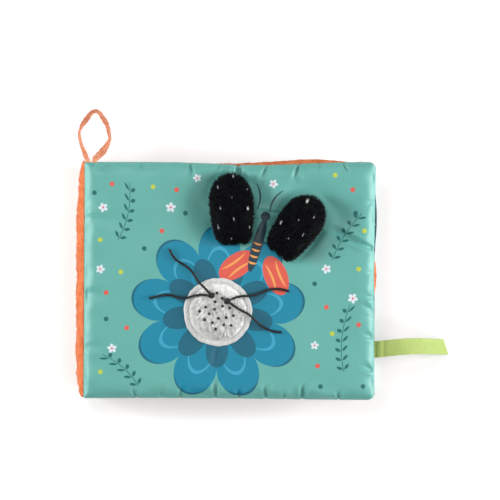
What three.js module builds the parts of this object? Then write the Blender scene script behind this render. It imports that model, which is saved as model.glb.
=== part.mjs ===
// A padded cloth photo album for a small child, closed and lying on its back cover.
// Millimetres. +X runs from the spine to the fore-edge, +Y from tail to head, +Z up.
// The origin is the middle of the back cover's flat outer face.
import * as THREE from 'three';

// Covers: sewn pads, seamed half way through their thickness
const coverWidth = 200;
const coverHeight = 160;
const outerRise = 4.5; // seam to the outer cloth at its shoulder
const innerRise = 4.5; // seam to the lining
const frontCrown = 2; // extra swell in the middle of the front cover
const frontShoulder = 14; // width of the rounded edge of the front cover
const backShoulder = 10;
const liningShoulder = 6;
const seamPull = 1.2; // a stuffed pad's sides draw in between its corners
const liningRoll = 1.5; // the lining's nap rolls out past the head seam
const foreCorner = 6;
const spineCorner = 1.5;
const clothThickness = 0.8;

// Clearances
const softGap = 0.3; // between two soft pieces
const layerGap = 0.1; // between the flat layers of one leaf
const floorGap = 0.5; // under the pieces that droop to the table

// Leaves
const leafCount = 4;
const leafHeight = 152;
const leafForeMargin = 1; // the leaves stop just short of the covers' fore corners
const waddingThickness = 1;
const waddingMargin = 3;
const panelThickness = 0.4;

// Clear pockets for prints of 100 x 150 mm
const windowWidth = 158;
const windowHeight = 108;
const windowCentreX = 2;
const windowThickness = 0.15;
const bindingThickness = 0.3;
const bindingLap = 4; // how far the binding reaches in and out from the window's edge

// Spine
const spineBulge = 5.5;
const spineLiningThickness = 0.7;
const spineEndTaper = 25; // the bulge dies away over this length at head and tail
const spineSideTaper = 9;
const spineEndMargin = 0.6;

// Two stuffed plush flaps, hinged on their sewn base line
const flapLength = 50;
const flapWidth = 30.4;
const flapBaseWidth = 23;
const flapWidestAt = 31;
const flapRise = 6.5; // seam to the top of the plush
const flapShoulder = 13;
const flapSeamHeight = 1.5; // backing cloth under the seam
const flaps = [
  { name: 'left_flap', x: 3.1, y: 24.4, direction: 93.6 },
  { name: 'right_flap', x: 32.2, y: 17.9, direction: 53.9 },
];

// Round plush patch with a flat sewn margin
const patchX = -7.9;
const patchY = -21.3;
const patchDiameter = 46.6;
const patchMargin = 4;
const patchEdgeHeight = 1.1;
const patchPileHeight = 2.4;

// Four cords, sewn down in pairs by two knots
const cordDiameter = 1.7;
const knotLength = 4.2;
const knotWidth = 3.2;
const knotHeight = 2.6;
const knots = [
  { name: 'cord_knot_left', x: -12.1, y: -9.9 },
  { name: 'cord_knot_right', x: -1.6, y: -13.8 },
];
const cordReachOut = 12; // the cord comes down from the pile over this distance
const cordRoutes = [
  [
    [-14.2, -7.6], [-17.2, -4.4], [-20.4, -1.4], [-23, 2.2], [-25.4, 6.1],
    [-28.6, 9.3], [-32.4, 11.8], [-36.2, 14.2], [-39, 17.7], [-41, 21.7],
  ],
  [
    [-15.2, -9.9], [-19.3, -9.4], [-23.8, -10.1], [-28.2, -11.3], [-32.7, -11.6],
    [-37.1, -10.6], [-41.5, -9.5], [-46, -9.8], [-50.4, -10.9], [-54.8, -12],
  ],
  [
    [1.3, -12.5], [5.3, -11], [9.8, -10.3], [14.3, -10.2], [18.8, -9.2],
    [23, -7.4], [27.3, -5.9], [31.8, -5.4], [36.3, -5.9], [40.6, -7.2],
  ],
  [
    [1.1, -15.4], [4.6, -18.1], [8.4, -20.2], [12.4, -22.3], [15.9, -25.2],
    [19, -28.5], [22.6, -31.2], [26.6, -33.3], [30.9, -34.6], [35.4, -35],
  ],
];

// Hanging loop: a strap on edge, both ends in the head seam by the spine
const loopFromSpine = 5.6;
const loopReach = 45.2;
const strapThickness = 2.4;
const strapWidth = 4;
const loopShape = [
  [-2.6, 0], [-5.6, 9], [-9, 20], [-8.6, 32], [-4, 41.6], [3, 44],
  [9, 39], [12, 29], [11.8, 18], [8, 8], [2.6, 0],
];

// Ribbon tag in the fore-edge seam, drooping to the table
const tagY = -46.8;
const tagWidth = 11.3;
const tagThickness = 1.2;
const tagReach = 48.6;

// Mesh density
const shoulderSteps = 4;
const crownSteps = 3;
const cornerSteps = 4;
const sideSteps = 5;
const cordSides = 8;
const patchSides = 24;
const curveSteps = 30;
const leastCorner = 0.4; // radius left on a corner that is inset past its own
const crownReach = 0.78; // share of the way to the middle where the crown's last ring lies

// Heights worked out from the stack
const pocketRise = layerGap + windowThickness + layerGap + bindingThickness;
const leafHalf = waddingThickness / 2 + layerGap + panelThickness + pocketRise;
const leafPitch = 2 * leafHalf + softGap;
const backSeamZ = outerRise;
const backInnerZ = backSeamZ + innerRise;
const frontInnerZ = backInnerZ + 2 * pocketRise + leafCount * leafPitch + softGap;
const frontSeamZ = frontInnerZ + innerRise;
const seamX = -coverWidth / 2;
const leafAxisX = seamX + softGap + leafHalf;
const leafReach = coverWidth / 2 - leafForeMargin - leafAxisX;
const loopX = seamX + loopFromSpine;

// Finishes
function cloth(color, roughness) {
  return new THREE.MeshStandardMaterial({ color, roughness, metalness: 0 });
}
const tealSatin = cloth(0x73bfb2, 0.55);
const orangeVelour = cloth(0xf0763e, 0.95);
const paleFoam = cloth(0xf2efe4, 1);
const leafCotton = cloth(0xf4efe2, 0.85);
const bindingCotton = cloth(0xe15a4b, 0.85);
const blackPlush = cloth(0x17171a, 1);
const whitePlush = cloth(0xdedcd6, 1);
const blackCord = cloth(0x101012, 0.8);
const limeRibbon = cloth(0xb9d66e, 0.6);
const clearFilm = new THREE.MeshStandardMaterial({
  color: 0xf4f8fa,
  roughness: 0.1,
  metalness: 0,
  transparent: true,
  opacity: 0.3,
});

// A closed body through rings with equal counts of points, capped at both ends.
function closedLoft(rings) {
  const count = rings[0].length;
  const points = rings.flat();
  const faces = [];
  for (let ring = 0; ring + 1 < rings.length; ring += 1) {
    for (let i = 0; i < count; i += 1) {
      const a = ring * count + i;
      const b = ring * count + ((i + 1) % count);
      faces.push([a, b, b + count], [a, b + count, a + count]);
    }
  }
  const first = points.push(middleOf(rings[0])) - 1;
  const last = points.push(middleOf(rings[rings.length - 1])) - 1;
  const top = (rings.length - 1) * count;
  for (let i = 0; i < count; i += 1) {
    const next = (i + 1) % count;
    faces.push([next, i, first], [top + i, top + next, last]);
  }
  return outwardGeometry(points, faces);
}

function middleOf(points) {
  const sum = new THREE.Vector3();
  points.forEach((point) => sum.add(point));
  return sum.divideScalar(points.length);
}

// An indexed geometry with its faces turned outward.
function outwardGeometry(points, faces) {
  const volume = faces.reduce((sum, [a, b, c]) => {
    const normal = new THREE.Vector3().crossVectors(points[b], points[c]);
    return sum + points[a].dot(normal);
  }, 0);
  const index = faces.flatMap(([a, b, c]) => (volume > 0 ? [a, b, c] : [a, c, b]));
  const geometry = new THREE.BufferGeometry().setFromPoints(points);
  geometry.setIndex(index);
  geometry.computeVertexNormals();
  return geometry;
}

function addMesh(group, name, geometry, material) {
  const mesh = new THREE.Mesh(geometry, material);
  mesh.name = name;
  group.add(mesh);
  return mesh;
}

// Outline of a sewn pad, counter-clockwise from its tail fore corner, inset from its cut edge.
function padOutline(pad, insetX, insetY) {
  const left = pad.left + insetX;
  const right = pad.right - insetX;
  const bottom = pad.bottom + insetY;
  const top = pad.top - insetY;
  const inset = Math.min(insetX, insetY);
  const fore = Math.max(pad.foreCorner - inset, leastCorner);
  const spine = Math.max(pad.spineCorner - inset, leastCorner);
  const corners = [
    { x: right - fore, y: bottom + fore, radius: fore, turn: -90, pull: pad.forePull },
    { x: right - fore, y: top - fore, radius: fore, turn: 0, pull: pad.headPull },
    { x: left + spine, y: top - spine, radius: spine, turn: 90, pull: 0 },
    { x: left + spine, y: bottom + spine, radius: spine, turn: 180, pull: pad.tailPull },
  ];
  const arcPoint = (corner, step) => {
    const angle = THREE.MathUtils.degToRad(corner.turn + (90 * step) / cornerSteps);
    return new THREE.Vector2(
      corner.x + corner.radius * Math.cos(angle),
      corner.y + corner.radius * Math.sin(angle),
    );
  };
  const outline = [];
  corners.forEach((corner, i) => {
    for (let step = 0; step <= cornerSteps; step += 1) {
      outline.push(arcPoint(corner, step));
    }
    const from = outline[outline.length - 1];
    const to = arcPoint(corners[(i + 1) % corners.length], 0);
    const inward = new THREE.Vector2(from.y - to.y, to.x - from.x).normalize();
    for (let step = 1; step <= sideSteps; step += 1) {
      const along = step / (sideSteps + 1);
      const point = from.clone().lerp(to, along);
      outline.push(point.addScaledVector(inward, corner.pull * Math.sin(Math.PI * along)));
    }
  });
  return outline;
}

function coverPad(headPull) {
  return {
    left: seamX + softGap,
    right: coverWidth / 2,
    bottom: -coverHeight / 2,
    top: coverHeight / 2,
    foreCorner,
    spineCorner,
    forePull: seamPull,
    headPull,
    tailPull: seamPull,
  };
}

function crownAt(depth, crown) {
  const share = Math.min(depth / (coverHeight / 2), 1);
  return crown * (1 - (1 - share) ** 2);
}

// Rings of one half of a cover, from the seam to the middle, `inset` under the cloth's outside.
function halfRings(pad, half, inset) {
  const rise = half.rise - softGap / 2 - inset;
  const shoulder = half.shoulder - inset;
  const levels = [];
  for (let step = 0; step <= shoulderSteps; step += 1) {
    const angle = (Math.PI / 2) * (step / shoulderSteps);
    const depth = inset + shoulder * (1 - Math.cos(angle));
    levels.push({ depth, height: rise * Math.sin(angle) });
  }
  const deepest = crownReach * (coverHeight / 2);
  for (let step = 1; step <= crownSteps && half.crown > 0; step += 1) {
    const depth = THREE.MathUtils.lerp(half.shoulder, deepest, step / crownSteps);
    levels.push({ depth, height: rise });
  }
  return levels.map(({ depth, height }) => {
    const z = half.side * (softGap / 2 + height + crownAt(depth, half.crown));
    return padOutline(pad, depth, depth).map((p) => new THREE.Vector3(p.x, p.y, z));
  });
}

// A cloth shell over one half of a cover, open towards the seam.
function halfShell(pad, half) {
  const outside = halfRings(pad, half, 0).reverse();
  return closedLoft([...outside, ...halfRings(pad, half, clothThickness)]);
}

function coverFoam(pad, outer, inner) {
  const inset = clothThickness + softGap;
  const below = halfRings(pad, inner, inset).reverse();
  return closedLoft([...below, ...halfRings(pad, outer, inset)]);
}

function plate(shape, z, thickness) {
  const geometry = new THREE.ExtrudeGeometry(shape, {
    depth: thickness,
    bevelEnabled: false,
    curveSegments: cornerSteps,
  });
  return geometry.translate(0, 0, z);
}

function polygon(points) {
  return new THREE.Shape(points.map(([x, y]) => new THREE.Vector2(x, y)));
}

// A clear window and its binding on one face; `side` says which way the face looks.
function addPocket(group, names, centreX, faceZ, side) {
  const halfX = windowWidth / 2;
  const halfY = windowHeight / 2;
  const window = polygon([
    [centreX - halfX, -halfY], [centreX + halfX, -halfY],
    [centreX + halfX, halfY], [centreX - halfX, halfY],
  ]);
  const mouth = centreX - halfX;
  const outX = centreX + halfX + bindingLap;
  const inX = centreX + halfX - bindingLap;
  const outY = halfY + bindingLap;
  const inY = halfY - bindingLap;
  const binding = polygon([
    [mouth, -outY], [outX, -outY], [outX, outY], [mouth, outY],
    [mouth, inY], [inX, inY], [inX, -inY], [mouth, -inY],
  ]);
  const lowest = (rise, thickness) => faceZ + side * rise - (side < 0 ? thickness : 0);
  const windowZ = lowest(layerGap, windowThickness);
  const bindingZ = lowest(pocketRise - bindingThickness, bindingThickness);
  addMesh(group, names.window, plate(window, windowZ, windowThickness), clearFilm);
  addMesh(group, names.binding, plate(binding, bindingZ, bindingThickness), bindingCotton);
}

function makeCover(name, seamZ, side, outer) {
  const group = new THREE.Group();
  group.position.z = seamZ;
  const pad = coverPad(seamPull);
  const inner = { rise: innerRise, shoulder: liningShoulder, crown: 0, side: -side };
  addMesh(group, `${name}_face`, halfShell(pad, { ...outer, side }), tealSatin);
  addMesh(group, `${name}_foam`, coverFoam(pad, { ...outer, side }, inner), paleFoam);
  addMesh(group, `${name}_lining`, halfShell(coverPad(-liningRoll), inner), orangeVelour);
  const names = { window: `${name}_window`, binding: `${name}_binding` };
  addPocket(group, names, windowCentreX, -side * innerRise, -side);
  return group;
}

// Height of the front cover's cloth over its seam plane.
function frontRise(x, y) {
  const depth = Math.min(
    x - seamX - softGap,
    coverWidth / 2 - x,
    coverHeight / 2 - Math.abs(y),
  );
  const slope = Math.max(1 - depth / frontShoulder, 0);
  const rounded = (outerRise - softGap / 2) * Math.sqrt(1 - slope * slope);
  return softGap / 2 + rounded + crownAt(depth, frontCrown);
}

// Spine: local x runs along the spine, local y up the stack and local z out to the left.
function makeSpine() {
  const group = new THREE.Group();
  group.position.set(seamX, 0, (backSeamZ + frontSeamZ) / 2);
  const along = new THREE.Vector3(0, -1, 0);
  const up = new THREE.Vector3(0, 0, 1);
  const out = new THREE.Vector3(-1, 0, 0);
  group.quaternion.setFromRotationMatrix(new THREE.Matrix4().makeBasis(along, up, out));
  const pad = {
    left: -coverHeight / 2 + spineEndMargin,
    right: coverHeight / 2 - spineEndMargin,
    bottom: (backSeamZ - frontSeamZ) / 2 + softGap,
    top: (frontSeamZ - backSeamZ) / 2 - softGap,
    foreCorner,
    spineCorner: foreCorner,
    forePull: 0,
    headPull: 0,
    tailPull: 0,
  };
  const ringAt = (insetX, insetY, z) =>
    padOutline(pad, insetX, insetY).map((p) => new THREE.Vector3(p.x, p.y, z));
  const rim = softGap + spineLiningThickness + softGap;
  const bulgeRings = (inset) => {
    const rings = [];
    for (let step = 0; step <= shoulderSteps; step += 1) {
      const angle = (Math.PI / 2) * (step / shoulderSteps);
      const along = inset + (spineEndTaper - inset) * (1 - Math.cos(angle));
      const across = inset + (spineSideTaper - inset) * (1 - Math.cos(angle));
      rings.push(ringAt(along, across, rim + (spineBulge - rim - inset) * Math.sin(angle)));
    }
    return rings;
  };
  const band = [...bulgeRings(0).reverse(), ...bulgeRings(clothThickness)];
  addMesh(group, 'spine_band', closedLoft(band), orangeVelour);
  addMesh(group, 'spine_padding', closedLoft(bulgeRings(clothThickness + softGap)), paleFoam);
  const lining = [ringAt(0, 0, softGap), ringAt(0, 0, softGap + spineLiningThickness)];
  addMesh(group, 'spine_lining', closedLoft(lining), orangeVelour);
  return group;
}

// Section of a leaf's wadding, with the half-round sewn root that it turns on.
function waddingShape() {
  const half = waddingThickness / 2;
  const end = leafReach - waddingMargin;
  const shape = new THREE.Shape();
  shape.moveTo(0, half);
  shape.lineTo(0, leafHalf);
  shape.absarc(0, 0, leafHalf, Math.PI / 2, (3 * Math.PI) / 2, false);
  shape.lineTo(0, -half);
  shape.lineTo(end, -half);
  shape.lineTo(end, half);
  shape.closePath();
  return shape;
}

function panelShape() {
  const half = leafHeight / 2;
  const corner = foreCorner;
  const shape = new THREE.Shape();
  shape.moveTo(softGap, -half);
  shape.lineTo(leafReach - corner, -half);
  shape.absarc(leafReach - corner, corner - half, corner, -Math.PI / 2, 0, false);
  shape.absarc(leafReach - corner, half - corner, corner, 0, Math.PI / 2, false);
  shape.lineTo(softGap, half);
  shape.closePath();
  return shape;
}

function makeLeaf(number) {
  const name = `leaf_${number}`;
  const group = new THREE.Group();
  const below = leafCount - number;
  const z = backInnerZ + pocketRise + softGap + leafHalf + below * leafPitch;
  group.position.set(leafAxisX, 0, z);
  const wadding = new THREE.ExtrudeGeometry(waddingShape(), {
    depth: leafHeight,
    bevelEnabled: false,
    curveSegments: 2 * cornerSteps,
  });
  wadding.rotateX(Math.PI / 2);
  wadding.translate(0, leafHeight / 2, 0);
  addMesh(group, `${name}_wadding`, wadding, paleFoam);
  const panelZ = waddingThickness / 2 + layerGap;
  const faceZ = panelZ + panelThickness;
  const front = plate(panelShape(), panelZ, panelThickness);
  const back = plate(panelShape(), -faceZ, panelThickness);
  addMesh(group, `${name}_front_panel`, front, leafCotton);
  addMesh(group, `${name}_back_panel`, back, leafCotton);
  [['front', 1], ['back', -1]].forEach(([face, side]) => {
    const names = { window: `${name}_${face}_window`, binding: `${name}_${face}_binding` };
    addPocket(group, names, windowCentreX - leafAxisX, side * faceZ, side);
  });
  return group;
}

// Outline of a plush flap: straight base on the local Y axis, widest towards its round tip.
function flapOutline() {
  const widest = flapWidth / 2;
  const base = flapBaseWidth / 2;
  const tip = flapLength - flapWidestAt;
  const side = [];
  for (let step = 0; step < sideSteps; step += 1) {
    const along = step / sideSteps;
    const swell = Math.sin((Math.PI / 2) * along);
    side.push(new THREE.Vector2(flapWidestAt * along, base + (widest - base) * swell));
  }
  for (let step = 0; step <= sideSteps; step += 1) {
    const angle = (Math.PI / 2) * (step / sideSteps);
    const x = flapWidestAt + tip * Math.sin(angle);
    side.push(new THREE.Vector2(x, widest * Math.cos(angle)));
  }
  const mirrored = side.slice(0, -1).map((p) => new THREE.Vector2(p.x, -p.y));
  return [...mirrored, ...side.reverse()];
}

function makeFlap(flap) {
  const group = new THREE.Group();
  const seamZ = frontRise(flap.x, flap.y) + softGap + flapSeamHeight;
  group.position.set(flap.x, flap.y, seamZ);
  group.rotation.z = THREE.MathUtils.degToRad(flap.direction);
  const outline = flapOutline();
  const middle = new THREE.Vector2(flapLength / 2, 0);
  const ringAt = (depth, z) => {
    const share = 1 - depth / (flapWidth / 2);
    return outline.map((p) => {
      const shrunk = middle.clone().lerp(p, share);
      return new THREE.Vector3(shrunk.x, shrunk.y, z);
    });
  };
  const domeRings = (inset) => {
    const rings = [];
    for (let step = 0; step <= shoulderSteps; step += 1) {
      const angle = (Math.PI / 2) * (step / shoulderSteps);
      const depth = inset + (flapShoulder - inset) * (1 - Math.cos(angle));
      const height = (flapRise - softGap / 2 - inset) * Math.sin(angle);
      rings.push(ringAt(depth, softGap / 2 + height));
    }
    return rings;
  };
  const plush = [...domeRings(0).reverse(), ...domeRings(clothThickness)];
  const underside = [
    ringAt(clothThickness, -flapSeamHeight),
    ringAt(0, -flapSeamHeight / 2),
    ringAt(0, -softGap / 2),
  ];
  addMesh(group, `${flap.name}_plush`, closedLoft(plush), blackPlush);
  addMesh(group, `${flap.name}_filling`, closedLoft(domeRings(clothThickness + softGap)), paleFoam);
  addMesh(group, `${flap.name}_backing`, closedLoft(underside), blackPlush);
  return group;
}

function circleOnCover(radius, lift) {
  const ring = [];
  for (let i = 0; i < patchSides; i += 1) {
    const angle = (2 * Math.PI * i) / patchSides;
    const x = patchX + radius * Math.cos(angle);
    const y = patchY + radius * Math.sin(angle);
    ring.push(new THREE.Vector3(x, y, frontRise(x, y) + lift));
  }
  return ring;
}

function makePatch() {
  const radius = patchDiameter / 2;
  const pile = radius - patchMargin;
  return closedLoft([
    circleOnCover(radius / 3, softGap),
    circleOnCover(radius, softGap),
    circleOnCover(radius, patchEdgeHeight),
    circleOnCover(pile, patchEdgeHeight),
    circleOnCover(pile - patchPileHeight + patchEdgeHeight, patchPileHeight),
    circleOnCover(radius / 3, patchPileHeight),
  ]);
}

// What a cord or knot lies on: the patch's pile in the middle, the bare cover further out.
function cordBed(x, y) {
  const pile = patchDiameter / 2 - patchMargin;
  const beyond = Math.hypot(x - patchX, y - patchY) - pile;
  const share = THREE.MathUtils.clamp(1 - beyond / cordReachOut, 0, 1);
  return frontRise(x, y) + patchPileHeight * share + softGap;
}

function makeKnot(knot) {
  const geometry = new THREE.SphereGeometry(0.5, 2 * cordSides, cordSides);
  geometry.rotateX(Math.PI / 2);
  geometry.scale(knotLength, knotWidth, knotHeight);
  const z = cordBed(knot.x, knot.y) + knotHeight / 2;
  return geometry.translate(knot.x, knot.y, z);
}

function makeCord(route) {
  const radius = cordDiameter / 2;
  const points = route.map(([x, y]) => new THREE.Vector3(x, y, cordBed(x, y) + radius));
  const section = [];
  for (let i = 0; i < cordSides; i += 1) {
    const angle = (2 * Math.PI * i) / cordSides;
    section.push([radius * Math.cos(angle), radius * Math.sin(angle)]);
  }
  return new THREE.ExtrudeGeometry(polygon(section), {
    steps: route.length,
    extrudePath: new THREE.CatmullRomCurve3(points),
  });
}

// Outline of a thin strip that follows a flat curve.
function stripShape(points, thickness) {
  const curve = new THREE.SplineCurve(points);
  const near = [];
  const far = [];
  for (let step = 0; step <= curveSteps; step += 1) {
    const share = step / curveSteps;
    const point = curve.getPointAt(share);
    const tangent = curve.getTangentAt(share);
    const normal = new THREE.Vector2(-tangent.y, tangent.x);
    near.push(point.clone().addScaledVector(normal, thickness / 2));
    far.push(point.clone().addScaledVector(normal, -thickness / 2));
  }
  return new THREE.Shape([...near, ...far.reverse()]);
}

// The loop slopes from the head seam down to the table.
function makeLoop() {
  const points = loopShape.map(([x, y]) => new THREE.Vector2(x, y));
  const strip = stripShape(points, strapThickness);
  const geometry = plate(strip, -strapWidth / 2, strapWidth);
  const group = new THREE.Group();
  group.position.set(loopX, coverHeight / 2 + softGap + strapWidth / 2, 0);
  const drop = frontSeamZ - floorGap - strapWidth / 2;
  group.rotation.x = -Math.asin(drop / loopReach);
  addMesh(group, 'hanging_loop', geometry, orangeVelour);
  return group;
}

// Where the drawn-in fore-edge seam lies at a height on the cover.
function foreSeamX(y) {
  const straight = coverHeight - 2 * foreCorner;
  const along = (y + straight / 2) / straight;
  return coverWidth / 2 - seamPull * Math.sin(Math.PI * along);
}

// The tag leaves the seam level, drapes over and lies down at its end.
function makeTag() {
  const drop = frontSeamZ - floorGap - tagThickness / 2;
  const points = [];
  for (let step = 0; step <= sideSteps; step += 1) {
    const share = step / sideSteps;
    points.push(new THREE.Vector2(tagReach * share, -drop * share * share * (3 - 2 * share)));
  }
  const geometry = plate(stripShape(points, tagThickness), -tagWidth / 2, tagWidth);
  geometry.rotateX(Math.PI / 2);
  const group = new THREE.Group();
  group.position.set(foreSeamX(tagY) + softGap + tagThickness / 2, tagY, 0);
  addMesh(group, 'ribbon_tag', geometry, limeRibbon);
  return group;
}

function makeFrontCover() {
  const outer = { rise: outerRise, shoulder: frontShoulder, crown: frontCrown };
  const group = makeCover('front_cover', frontSeamZ, 1, outer);
  flaps.forEach((flap) => group.add(makeFlap(flap)));
  addMesh(group, 'plush_patch', makePatch(), whitePlush);
  knots.forEach((knot) => addMesh(group, knot.name, makeKnot(knot), blackCord));
  cordRoutes.forEach((route, i) => addMesh(group, `cord_${i + 1}`, makeCord(route), blackCord));
  group.add(makeLoop(), makeTag());
  return group;
}

const album = new THREE.Group();
const backOuter = { rise: outerRise, shoulder: backShoulder, crown: 0 };
album.add(makeCover('back_cover', backSeamZ, -1, backOuter));
album.add(makeSpine());
for (let number = 1; number <= leafCount; number += 1) {
  album.add(makeLeaf(number));
}
album.add(makeFrontCover());

export default album;
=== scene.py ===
# %% [markdown]
# A padded cloth photo album lies closed on its back cover. The CAD model already has
# every piece in its place and says how each one moves. This lesson dresses those
# solids as cloth: printed satin, orange velour, black and white plush, waxed cord and
# ribbon. Lengths are written in millimetres, as in the CAD model, and turned into
# Blender's metres where a mesh is made.

# %% Load the frame
import math
from functools import partial

import bmesh
import bpy
import numpy as np
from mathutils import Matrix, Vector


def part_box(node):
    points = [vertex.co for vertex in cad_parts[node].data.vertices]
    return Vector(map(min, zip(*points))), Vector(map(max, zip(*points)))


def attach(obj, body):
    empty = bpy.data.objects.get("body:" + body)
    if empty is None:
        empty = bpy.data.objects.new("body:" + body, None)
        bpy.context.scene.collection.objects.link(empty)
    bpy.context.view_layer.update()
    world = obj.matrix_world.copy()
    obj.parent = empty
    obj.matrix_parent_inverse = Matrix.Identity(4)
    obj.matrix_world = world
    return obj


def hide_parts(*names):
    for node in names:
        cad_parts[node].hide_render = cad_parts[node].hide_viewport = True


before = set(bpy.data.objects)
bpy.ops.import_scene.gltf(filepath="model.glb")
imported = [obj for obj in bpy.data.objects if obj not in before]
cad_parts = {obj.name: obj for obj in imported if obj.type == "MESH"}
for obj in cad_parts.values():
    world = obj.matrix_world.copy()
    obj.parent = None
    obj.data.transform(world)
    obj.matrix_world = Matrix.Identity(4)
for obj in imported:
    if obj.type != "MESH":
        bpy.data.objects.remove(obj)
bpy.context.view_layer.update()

MM = 0.001
scene = bpy.context.scene
scene.view_settings.view_transform = "Standard"

# %% [markdown]
# The photograph looks straight down. A wide lens would show the sides of the covers, so
# the camera stands far away with a long lens. The lens follows from the height and from
# the width of the picture at the front cover's seam, which shows as the outline.

# %% Camera
SENSOR = 36.0
PHOTO_WIDTH = 341.3
PHOTO_CENTRE = (13.99, 20.99)
CAMERA_HEIGHT = 2400.0
FRONT_SEAM = 29.5
BACK_SEAM = 4.5
camera_data = bpy.data.cameras.new("camera")
camera_data.sensor_width = SENSOR
camera_data.lens = SENSOR * (CAMERA_HEIGHT - FRONT_SEAM) / PHOTO_WIDTH
camera = bpy.data.objects.new("camera", camera_data)
camera.location = (PHOTO_CENTRE[0] * MM, PHOTO_CENTRE[1] * MM, CAMERA_HEIGHT * MM)
scene.collection.objects.link(camera)
scene.camera = camera
print("lens:", round(camera_data.lens, 1), "mm")

# %% [markdown]
# Every finish below is a small tree of shader nodes. Five helpers keep the trees
# readable. The first turns a painter's colour code into the linear light that Blender
# mixes, the second fills a socket, the next two add a node or a sum, and the last lays
# one colour over another.


# %% Node helpers
def shade(code):
    parts = [int(code[i:i + 2], 16) / 255 for i in (1, 3, 5)]
    light = [c / 12.92 if c <= 0.04045 else ((c + 0.055) / 1.055) ** 2.4 for c in parts]
    return (*light, 1.0)


def plug(tree, socket, value):
    if isinstance(value, bpy.types.NodeSocket):
        tree.links.new(value, socket)
    else:
        socket.default_value = value


def node(tree, kind, inputs=None, **settings):
    made = tree.nodes.new(f"ShaderNode{kind}")
    for name, value in settings.items():
        setattr(made, name, value)
    for key, value in (inputs or {}).items():
        plug(tree, made.inputs[key], value)
    return made.outputs[0]


def calc(tree, operation, *values, clamp=False):
    numbered = dict(enumerate(values))
    return node(tree, "Math", numbered, operation=operation, use_clamp=clamp)


def lay_over(tree, share, under, over):
    made = node(tree, "Mix", {0: share, 6: under, 7: over}, data_type="RGBA")
    return made.node.outputs[2]


print("mid grey as light:", round(shade("#808080")[0], 3))

# %% [markdown]
# Cloth scatters light in three ways: a matt body colour, a faint gloss from smooth
# threads and a pale sheen from the fibres that stand up. The Principled shader has a
# socket for each. Numbers that are the same all over stay on the shader itself.

# %% Start a cloth finish
SHEEN_ROUGHNESS = 0.45


def start_finish(name, roughness, gloss=0.3, sheen=0.0, sheen_colour="#FFFFFF"):
    made = bpy.data.materials.new(name)
    made.use_nodes = True
    shader = made.node_tree.nodes["Principled BSDF"]
    shader.inputs["Roughness"].default_value = roughness
    shader.inputs["Specular IOR Level"].default_value = gloss
    shader.inputs["Sheen Weight"].default_value = sheen
    shader.inputs["Sheen Roughness"].default_value = SHEEN_ROUGHNESS
    shader.inputs["Sheen Tint"].default_value = shade(sheen_colour)
    return made, made.node_tree, shader


def own_place(tree):
    return node(tree, "TexCoord").node.outputs["Object"]


def grain(tree, place, size, detail=2.0):
    scale = 1 / (size * MM)
    return node(tree, "TexNoise", {"Vector": place, "Scale": scale, "Detail": detail})


def add_bump(tree, shader, height, depth):
    bump = node(tree, "Bump", {"Height": height, "Distance": depth * MM})
    plug(tree, shader.inputs["Normal"], bump)


print("sheen roughness of every cloth:", SHEEN_ROUGHNESS)

# %% [markdown]
# Two finishes come back often. Napped cloth is never one flat colour: rubbing leaves
# broad patches, and its short fibres make a fine grain on top. Loose fibres differ from
# one another, so each takes its own tone by the random number of its own mesh island.

# %% Napped cloth and loose fibres
NAP_GLOSS = 0.2
NAP_BROAD = 5
NAP_MIX = (0.6, 0.4)
NAP_LIMITS = (0.36, 0.64)
FIBRE_GLOSS = 0.25
FIBRE_PATCHES = 5.0
FIBRE_MIX = (0.7, 0.3)


def spread_out(tree, value, limits):
    """The middle stretch of a noise, drawn out to the whole range from 0 to 1."""
    inputs = {"Value": value, "From Min": limits[0], "From Max": limits[1]}
    return node(tree, "MapRange", inputs)


def mix_two(tree, first, second, shares):
    lesser = calc(tree, "MULTIPLY", second, shares[1])
    return calc(tree, "MULTIPLY_ADD", first, shares[0], lesser)


def nap_finish(name, dark, light, size, roughness, sheen, depth, sheen_colour="#FFFFFF"):
    made, tree, shader = start_finish(name, roughness, NAP_GLOSS, sheen, sheen_colour)
    place = own_place(tree)
    fine = grain(tree, place, size)
    broad = grain(tree, place, NAP_BROAD * size, 3.0)
    spread = spread_out(tree, mix_two(tree, fine, broad, NAP_MIX), NAP_LIMITS)
    plug(tree, shader.inputs["Base Color"], lay_over(tree, spread, shade(dark), shade(light)))
    add_bump(tree, shader, fine, depth)
    return made


def fibre_finish(name, dark, light, roughness, sheen, sheen_colour="#FFFFFF"):
    made, tree, shader = start_finish(name, roughness, FIBRE_GLOSS, sheen, sheen_colour)
    chance = node(tree, "NewGeometry").node.outputs["Random Per Island"]
    rubbed = grain(tree, own_place(tree), FIBRE_PATCHES)
    both = mix_two(tree, chance, rubbed, FIBRE_MIX)
    plug(tree, shader.inputs["Base Color"], lay_over(tree, both, shade(dark), shade(light)))
    return made


print("a nap's tones are spread from", *NAP_LIMITS)

# %% [markdown]
# A piece is a mesh that rides on a CAD body and takes the finishes it is given. One
# function makes every piece below. It joins equal points where that is asked for, makes
# the face directions agree and says how many faces the piece has.

# %% Add a piece
WELD_DISTANCE = 1e-3


def add_piece(name, points, faces, finishes, body, slot, weld=False):
    mesh = bpy.data.meshes.new(name)
    mesh.from_pydata((np.asarray(points, float) * MM).tolist(), [], faces)
    shell = bmesh.new()
    shell.from_mesh(mesh)
    if weld:
        bmesh.ops.remove_doubles(shell, verts=shell.verts, dist=WELD_DISTANCE * MM)
    bmesh.ops.recalc_face_normals(shell, faces=shell.faces)
    shell.to_mesh(mesh)
    shell.free()
    for finish in finishes:
        mesh.materials.append(finish)
    mesh.shade_smooth()
    piece = bpy.data.objects.new(name, mesh)
    scene.collection.objects.link(piece)
    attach(piece, body)
    print(f"{name}: {len(mesh.polygons)} faces on {body}")
    return piece


print("points closer than", WELD_DISTANCE, "mm can be joined")

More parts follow.
